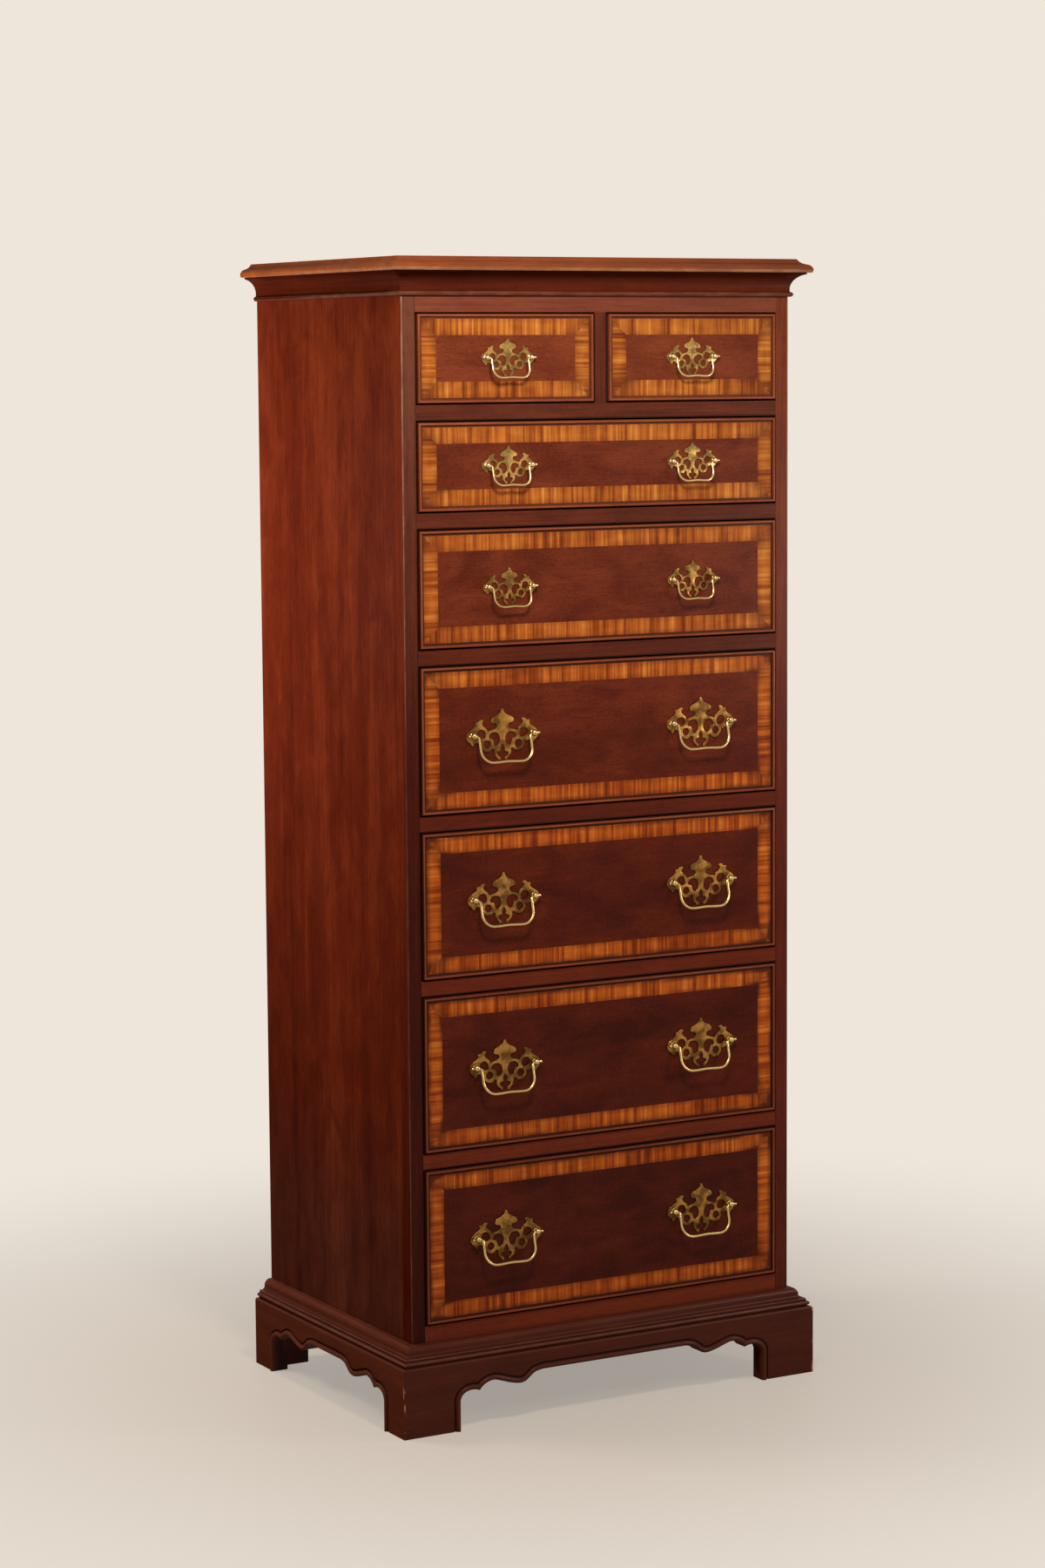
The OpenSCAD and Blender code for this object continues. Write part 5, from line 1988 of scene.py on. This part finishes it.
@dataclass
class Drawer:
    """One drawer front with its field, crossbanding, cock bead and brass."""

    tag: str
    handles: list[HandlePlan]
    finishes: Finishes
    index: int
    veneer_t: float = 1 * MM
    core_t: float = 19 * MM
    bead_w: float = 4 * MM
    bead_proud: float = 2.6 * MM
    quirk_w: float = 2.5 * MM
    quirk_d: float = 0.6 * MM
    band_w: float = 20.5 * MM
    box_t: float = 12 * MM
    ease: float = 0.12 * MM
    core_play: float = 0.25 * MM
    low: Vector = field(init=False)
    high: Vector = field(init=False)
    face: float = field(init=False)
    core_back: float = field(init=False)

    def __post_init__(self) -> None:
        """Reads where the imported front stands."""
        self.low, self.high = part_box(f"{self.name}_front")
        self.face = self.low.y + self.bead_proud
        self.core_back = self.face + self.veneer_t + self.core_t

    @property
    def name(self) -> str:
        """The drawer's body."""
        return f"drawer_{self.tag}"

    def build(self, nodes: dict[str, bpy.types.Object]) -> None:
        """Builds and dresses the drawer.

        Args:
            nodes: the frame's nodes by name.
        """
        self._core()
        self._field()
        self._bead()
        self._banding()
        middle, half = (self.low.x + self.high.x) / 2, (self.high.x - self.low.x) / 2
        box = self.finishes.poplar.box_material(middle, half - self.box_t)
        lay_finish(nodes[f"{self.name}_box"], box)
        Handles(self.name, self.face, self.core_back, self.handles, self.finishes).build()

    def _frame(self) -> tuple[np.ndarray, np.ndarray, Place]:
        """Returns the corners of the front as x and z, how they lean inwards, and the place
        that stands a plan view on the face with its height to the front."""
        x0, x1, z0, z1 = self.low.x, self.high.x, self.low.z, self.high.z
        bases = np.array([[x0, z0], [x1, z0], [x1, z1], [x0, z1], [x0, z0]])
        leans = np.array([[1, 1], [-1, 1], [-1, -1], [1, -1], [1, 1]], float)
        face = self.face
        return bases, leans, lambda p: np.stack([p[..., 0], face - p[..., 2], p[..., 1]], -1)

    def _slab(self, name: str, inset: float, sides: float, front: float, back: float) -> Piece:
        """Makes a square slab behind or on the face, its front edges eased.

        Args:
            name: the piece's name.
            inset: its distance from the front's top and bottom edges.
            sides: its distance from the front's left and right edges.
            front: height of its front over the face.
            back: height of its back over the face.

        Returns:
            The slab.
        """
        bases, leans, place = self._frame()
        bases = bases + leans * [sides, inset]
        rim = np.array([(0, back), (0, front - self.ease), (self.ease, front)])
        piece = Piece(name)
        piece.carry(rim, bases, leans, place, closed=False)
        for out, up in (rim[0], rim[-1]):
            plan = (bases + out * leans)[:4]
            flat = place(np.c_[plan, np.full(4, up)])
            piece.face(flat, plan)
        return piece

    def _core(self) -> None:
        """Builds the solid front behind the veneers, a hair narrower than the dovetails."""
        back = -self.veneer_t - self.core_t
        piece = self._slab(f"{self.name}_core", 0.0, self.core_play, -self.veneer_t, back)
        finish = self.finishes.case.material(Grain.ALONG_X)
        dress(piece.make(finish), self.name, [f"{self.name}_front"])

    def _field(self) -> None:
        """Builds the field of dark veneer."""
        inset = self.bead_w + self.quirk_w + self.band_w
        piece = self._slab(f"{self.name}_field", inset, inset, 0.0, -self.veneer_t)
        finish = self.finishes.veneer.material(Grain.ALONG_X)
        dress(piece.make(finish), self.name, [f"{self.name}_front"])

    def _bead(self) -> None:
        """Builds the mitred cock bead with the quirk inside it, painted dark as dark polish
        and shade.
        """
        w, up = self.bead_w, self.bead_proud - self.bead_w / 2
        inner = w + self.quirk_w
        corners = np.vstack(
            [
                [(0, -self.veneer_t)],
                bow((0, up), (w, up), -w / 2, 15),
                [(w, -self.quirk_d), (inner, -self.quirk_d), (inner, -self.veneer_t)],
            ]
        )
        bases, leans, place = self._frame()
        # Painted shade on the bead's outer side in the gap and in the quirk, and a painted
        # highlight on its crest
        across, worn_and_painted_light = (0, 0.2, 0.42, 0.6, 0.9, 1), (-1, -0.9, 0.5, 0.3, -0.2, -1)
        rub = np.interp(corners[:, 0] / w, across, worn_and_painted_light)
        piece = Piece(f"{self.name}_bead", shift=0.53 * self.index)
        piece.carry(corners, bases, leans, place, rub)
        finish = self.finishes.beads.material(Grain.BY_MAP)
        dress(piece.make(finish), self.name, [f"{self.name}_front"])

    def _banding(self) -> None:
        """Builds the four mitred strips of crossbanding."""
        inset = self.bead_w + self.quirk_w
        far, ease, under = inset + self.band_w, self.ease, -self.veneer_t
        section = [(inset, under), (inset, -ease), (inset + ease, 0), (far, 0)]
        section += [(far, under), (inset, under)]
        bases, leans, place = self._frame()
        piece = Piece(f"{self.name}_banding", shift=0.91 * self.index)
        for k in range(4):
            ends = slice(k, k + 2)
            upright = float(k % 2)
            piece.carry(np.array(section), bases[ends], leans[ends], place, upright, False)
            piece.shift += LENGTH_SHIFT
        finish = self.finishes.banding.material()
        dress(piece.make(finish), self.name, [f"{self.name}_front"])


@dataclass
class Chest:
    """The whole chest of drawers."""

    planes: CasePlanes
    finishes: Finishes
    small_x: float = 139 * MM
    large_x: float = 151 * MM
    small_up: float = 1 * MM
    large_up: float = 4 * MM

    def build(self, nodes: dict[str, bpy.types.Object]) -> None:
        """Builds and dresses the case, the base and the eight drawers.

        Args:
            nodes: the frame's nodes by name.
        """
        Case(self.planes, self.finishes).build(nodes)
        Base(self.planes, self.finishes).build(nodes)
        for index, tag in enumerate(SMALL_ROWS + LARGE_ROWS, 1):
            Drawer(tag, self._handles(tag), self.finishes, index).build(nodes)

    def _handles(self, tag: str) -> list[HandlePlan]:
        """Plans the handles of a drawer: one on a half drawer, two on a full one.

        Args:
            tag: the drawer's tag; a second letter tells a half drawer's side.

        Returns:
            Their plans.
        """
        low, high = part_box(f"drawer_{tag}_front")
        size, x, up = SMALL, self.small_x, self.small_up
        if tag in LARGE_ROWS:
            size, x, up = LARGE, self.large_x, self.large_up
        z = (low.z + high.z) / 2 + up
        ends = {"l": -1, "r": 1}
        if len(tag) == 2:
            return [HandlePlan(tag, ends[tag[1]] * x, z, size)]
        return [HandlePlan(tag + end, sign * x, z, size) for end, sign in ends.items()]


# The studio


@dataclass(frozen=True)
class SoftBox:
    """A soft lamp: its place, its aim, its width and height, and its power in watts."""

    name: str
    place: tuple[float, float, float]
    aim: tuple[float, float, float]
    size: tuple[float, float]
    power: float

    def hang(self, colour: Rgb) -> None:
        """Hangs the lamp, out of the camera's sight.

        Args:
            colour: the colour of its light.
        """
        light = bpy.data.lights.new(self.name, "AREA")
        light.shape = "RECTANGLE"
        light.size, light.size_y = self.size
        light.energy = self.power
        light.color = colour
        lamp = bpy.data.objects.new(self.name, light)
        bpy.context.scene.collection.objects.link(lamp)
        lamp.location = self.place
        lamp.visible_camera = False
        look = Vector(self.aim) - Vector(self.place)
        lamp.rotation_euler = look.to_track_quat("-Z", "Y").to_euler()


SOFT_BOXES = (
    SoftBox("right", (1.35, -1.15, 1.0), (0.1, -0.2, 0.65), (0.4, 0.4), 8.5),
    SoftBox("front", (-0.42, -1.15, 2.0), (-0.1, -0.2, 1.15), (0.35, 0.25), 17.0),
    SoftBox("high_left", (-0.9, -1.2, 1.9), (-0.1, -0.2, 1.1), (0.35, 0.25), 4.0),
    SoftBox("left", (-0.92, 0.52, 1.12), (-0.3, 0.12, 1.05), (0.45, 0.45), 11.5),
)


@dataclass
class Studio:
    """Pale floor and backdrop, soft lamps, and the camera; its angles are in degrees."""

    eye: Vector = field(default_factory=lambda: Vector((-2.4783, -4.3214, 1.3769)))
    yaw: float = 29.73
    pitch: float = -6.488
    roll: float = -0.407
    lens: float = 84.9
    floor: Rgb = (0.56, 0.455, 0.35)
    floor_glow: float = 0.42
    floor_rough: float = 0.55
    floor_rim: tuple[float, float] = (0.15, 1.6)
    backdrop: Rgb = (0.86, 0.79, 0.71)
    lamp_colour: Rgb = (1.0, 0.95, 0.89)
    soft_light: float = 0.03

    def build(self) -> None:
        """Builds the floor, the light and the camera."""
        self._ground()
        self._world()
        for lamp in SOFT_BOXES:
            lamp.hang(self.lamp_colour)
        self._camera()

    def _ground(self) -> None:
        """Lays a round floor whose rim takes the backdrop's colour: at radius r and
        angle a it lies at (r cos a, r sin a, 0)."""
        radius = np.array([0, 1.5, 3, 6, 12, 30.0])[:, None]
        turn = np.linspace(0, 2 * math.pi, 65)[None]
        plan = np.stack([radius * np.cos(turn), radius * np.sin(turn)], -1)
        sheet = Piece("ground")
        sheet.grid(np.concatenate([plan, np.zeros((*plan.shape[:2], 1))], 2), plan)
        shader = Shader("pale_ground", {"Specular IOR Level": 0.15})
        point = shader.node("ShaderNodeTexCoord", {}, {}).outputs["Object"]
        length = shader.node("ShaderNodeVectorMath", {"operation": "LENGTH"}, {0: point})
        rim = Value(shader, length.outputs["Value"]).ramp(*self.floor_rim)
        colour = shader.mixed(rim, self.floor, self.backdrop)
        finish = shader.finish(colour, self.floor_rough)
        glow = shader.node("ShaderNodeEmission", {}, {"Color": self.backdrop})
        glowing = shader.seen_directly() * (self.floor_glow + (1.0 - self.floor_glow) * rim)
        share = {0: glowing, 1: shader.surface.outputs[0]}
        both = shader.node("ShaderNodeMixShader", {}, share | {2: glow.outputs[0]})
        shader.tree.links.new(both.outputs[0], shader.output.inputs["Surface"])
        ground = sheet.make(finish)
        ground.data.flip_normals()

    def _world(self) -> None:
        """Sets a soft even light all round, behind a pale background."""
        world = bpy.data.worlds.new("studio")
        bpy.context.scene.world = world
        world.use_nodes = True
        tree = NodeTree(world.node_tree)
        kind = "ShaderNodeBackground"
        light = {"Color": self.lamp_colour, "Strength": self.soft_light}
        soft = tree.node(kind, {}, light)
        pale = tree.node(kind, {}, {"Color": self.backdrop, "Strength": 1.0})
        share = {0: tree.seen_directly(), 1: soft.outputs[0], 2: pale.outputs[0]}
        both = tree.node("ShaderNodeMixShader", {}, share)
        tree.node("ShaderNodeOutputWorld", {}, {"Surface": both.outputs[0]})

    def _camera(self) -> None:
        """Sets the camera by its eye, its yaw from +y, its pitch and its roll."""
        yaw, pitch, roll = (math.radians(v) for v in (self.yaw, self.pitch, self.roll))
        flat = Vector((math.sin(yaw), math.cos(yaw), 0))
        ahead = flat * math.cos(pitch) + Vector((0, 0, math.sin(pitch)))
        right = Vector((math.cos(yaw), -math.sin(yaw), 0))
        up = right.cross(ahead)
        level = right * math.cos(roll) + up * math.sin(roll)
        above = up * math.cos(roll) - right * math.sin(roll)
        data = bpy.data.cameras.new("view")
        data.lens, data.sensor_width = self.lens, 36.0
        camera = bpy.data.objects.new("view", data)
        bpy.context.scene.collection.objects.link(camera)
        axes = Matrix((level, above, -ahead)).transposed().to_4x4()
        camera.matrix_world = Matrix.Translation(self.eye) @ axes
        bpy.context.scene.camera = camera


def corners(box: Sequence[Vector]) -> list[list[float]]:
    """Returns a box's lowest and highest corner as plain lists."""
    return [[float(v) for v in corner] for corner in box]


def main() -> None:
    """Builds the chest's looks on its frame, and the studio round it."""
    logging.basicConfig(level=logging.INFO, format="%(name)s: %(message)s")
    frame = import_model()
    Chest(CasePlanes.read(), Finishes()).build(frame["nodes"])
    Studio().build()
    bpy.context.scene.view_settings.view_transform = "Standard"
    bpy.context.view_layer.update()


if __name__ == "__main__":
    main()
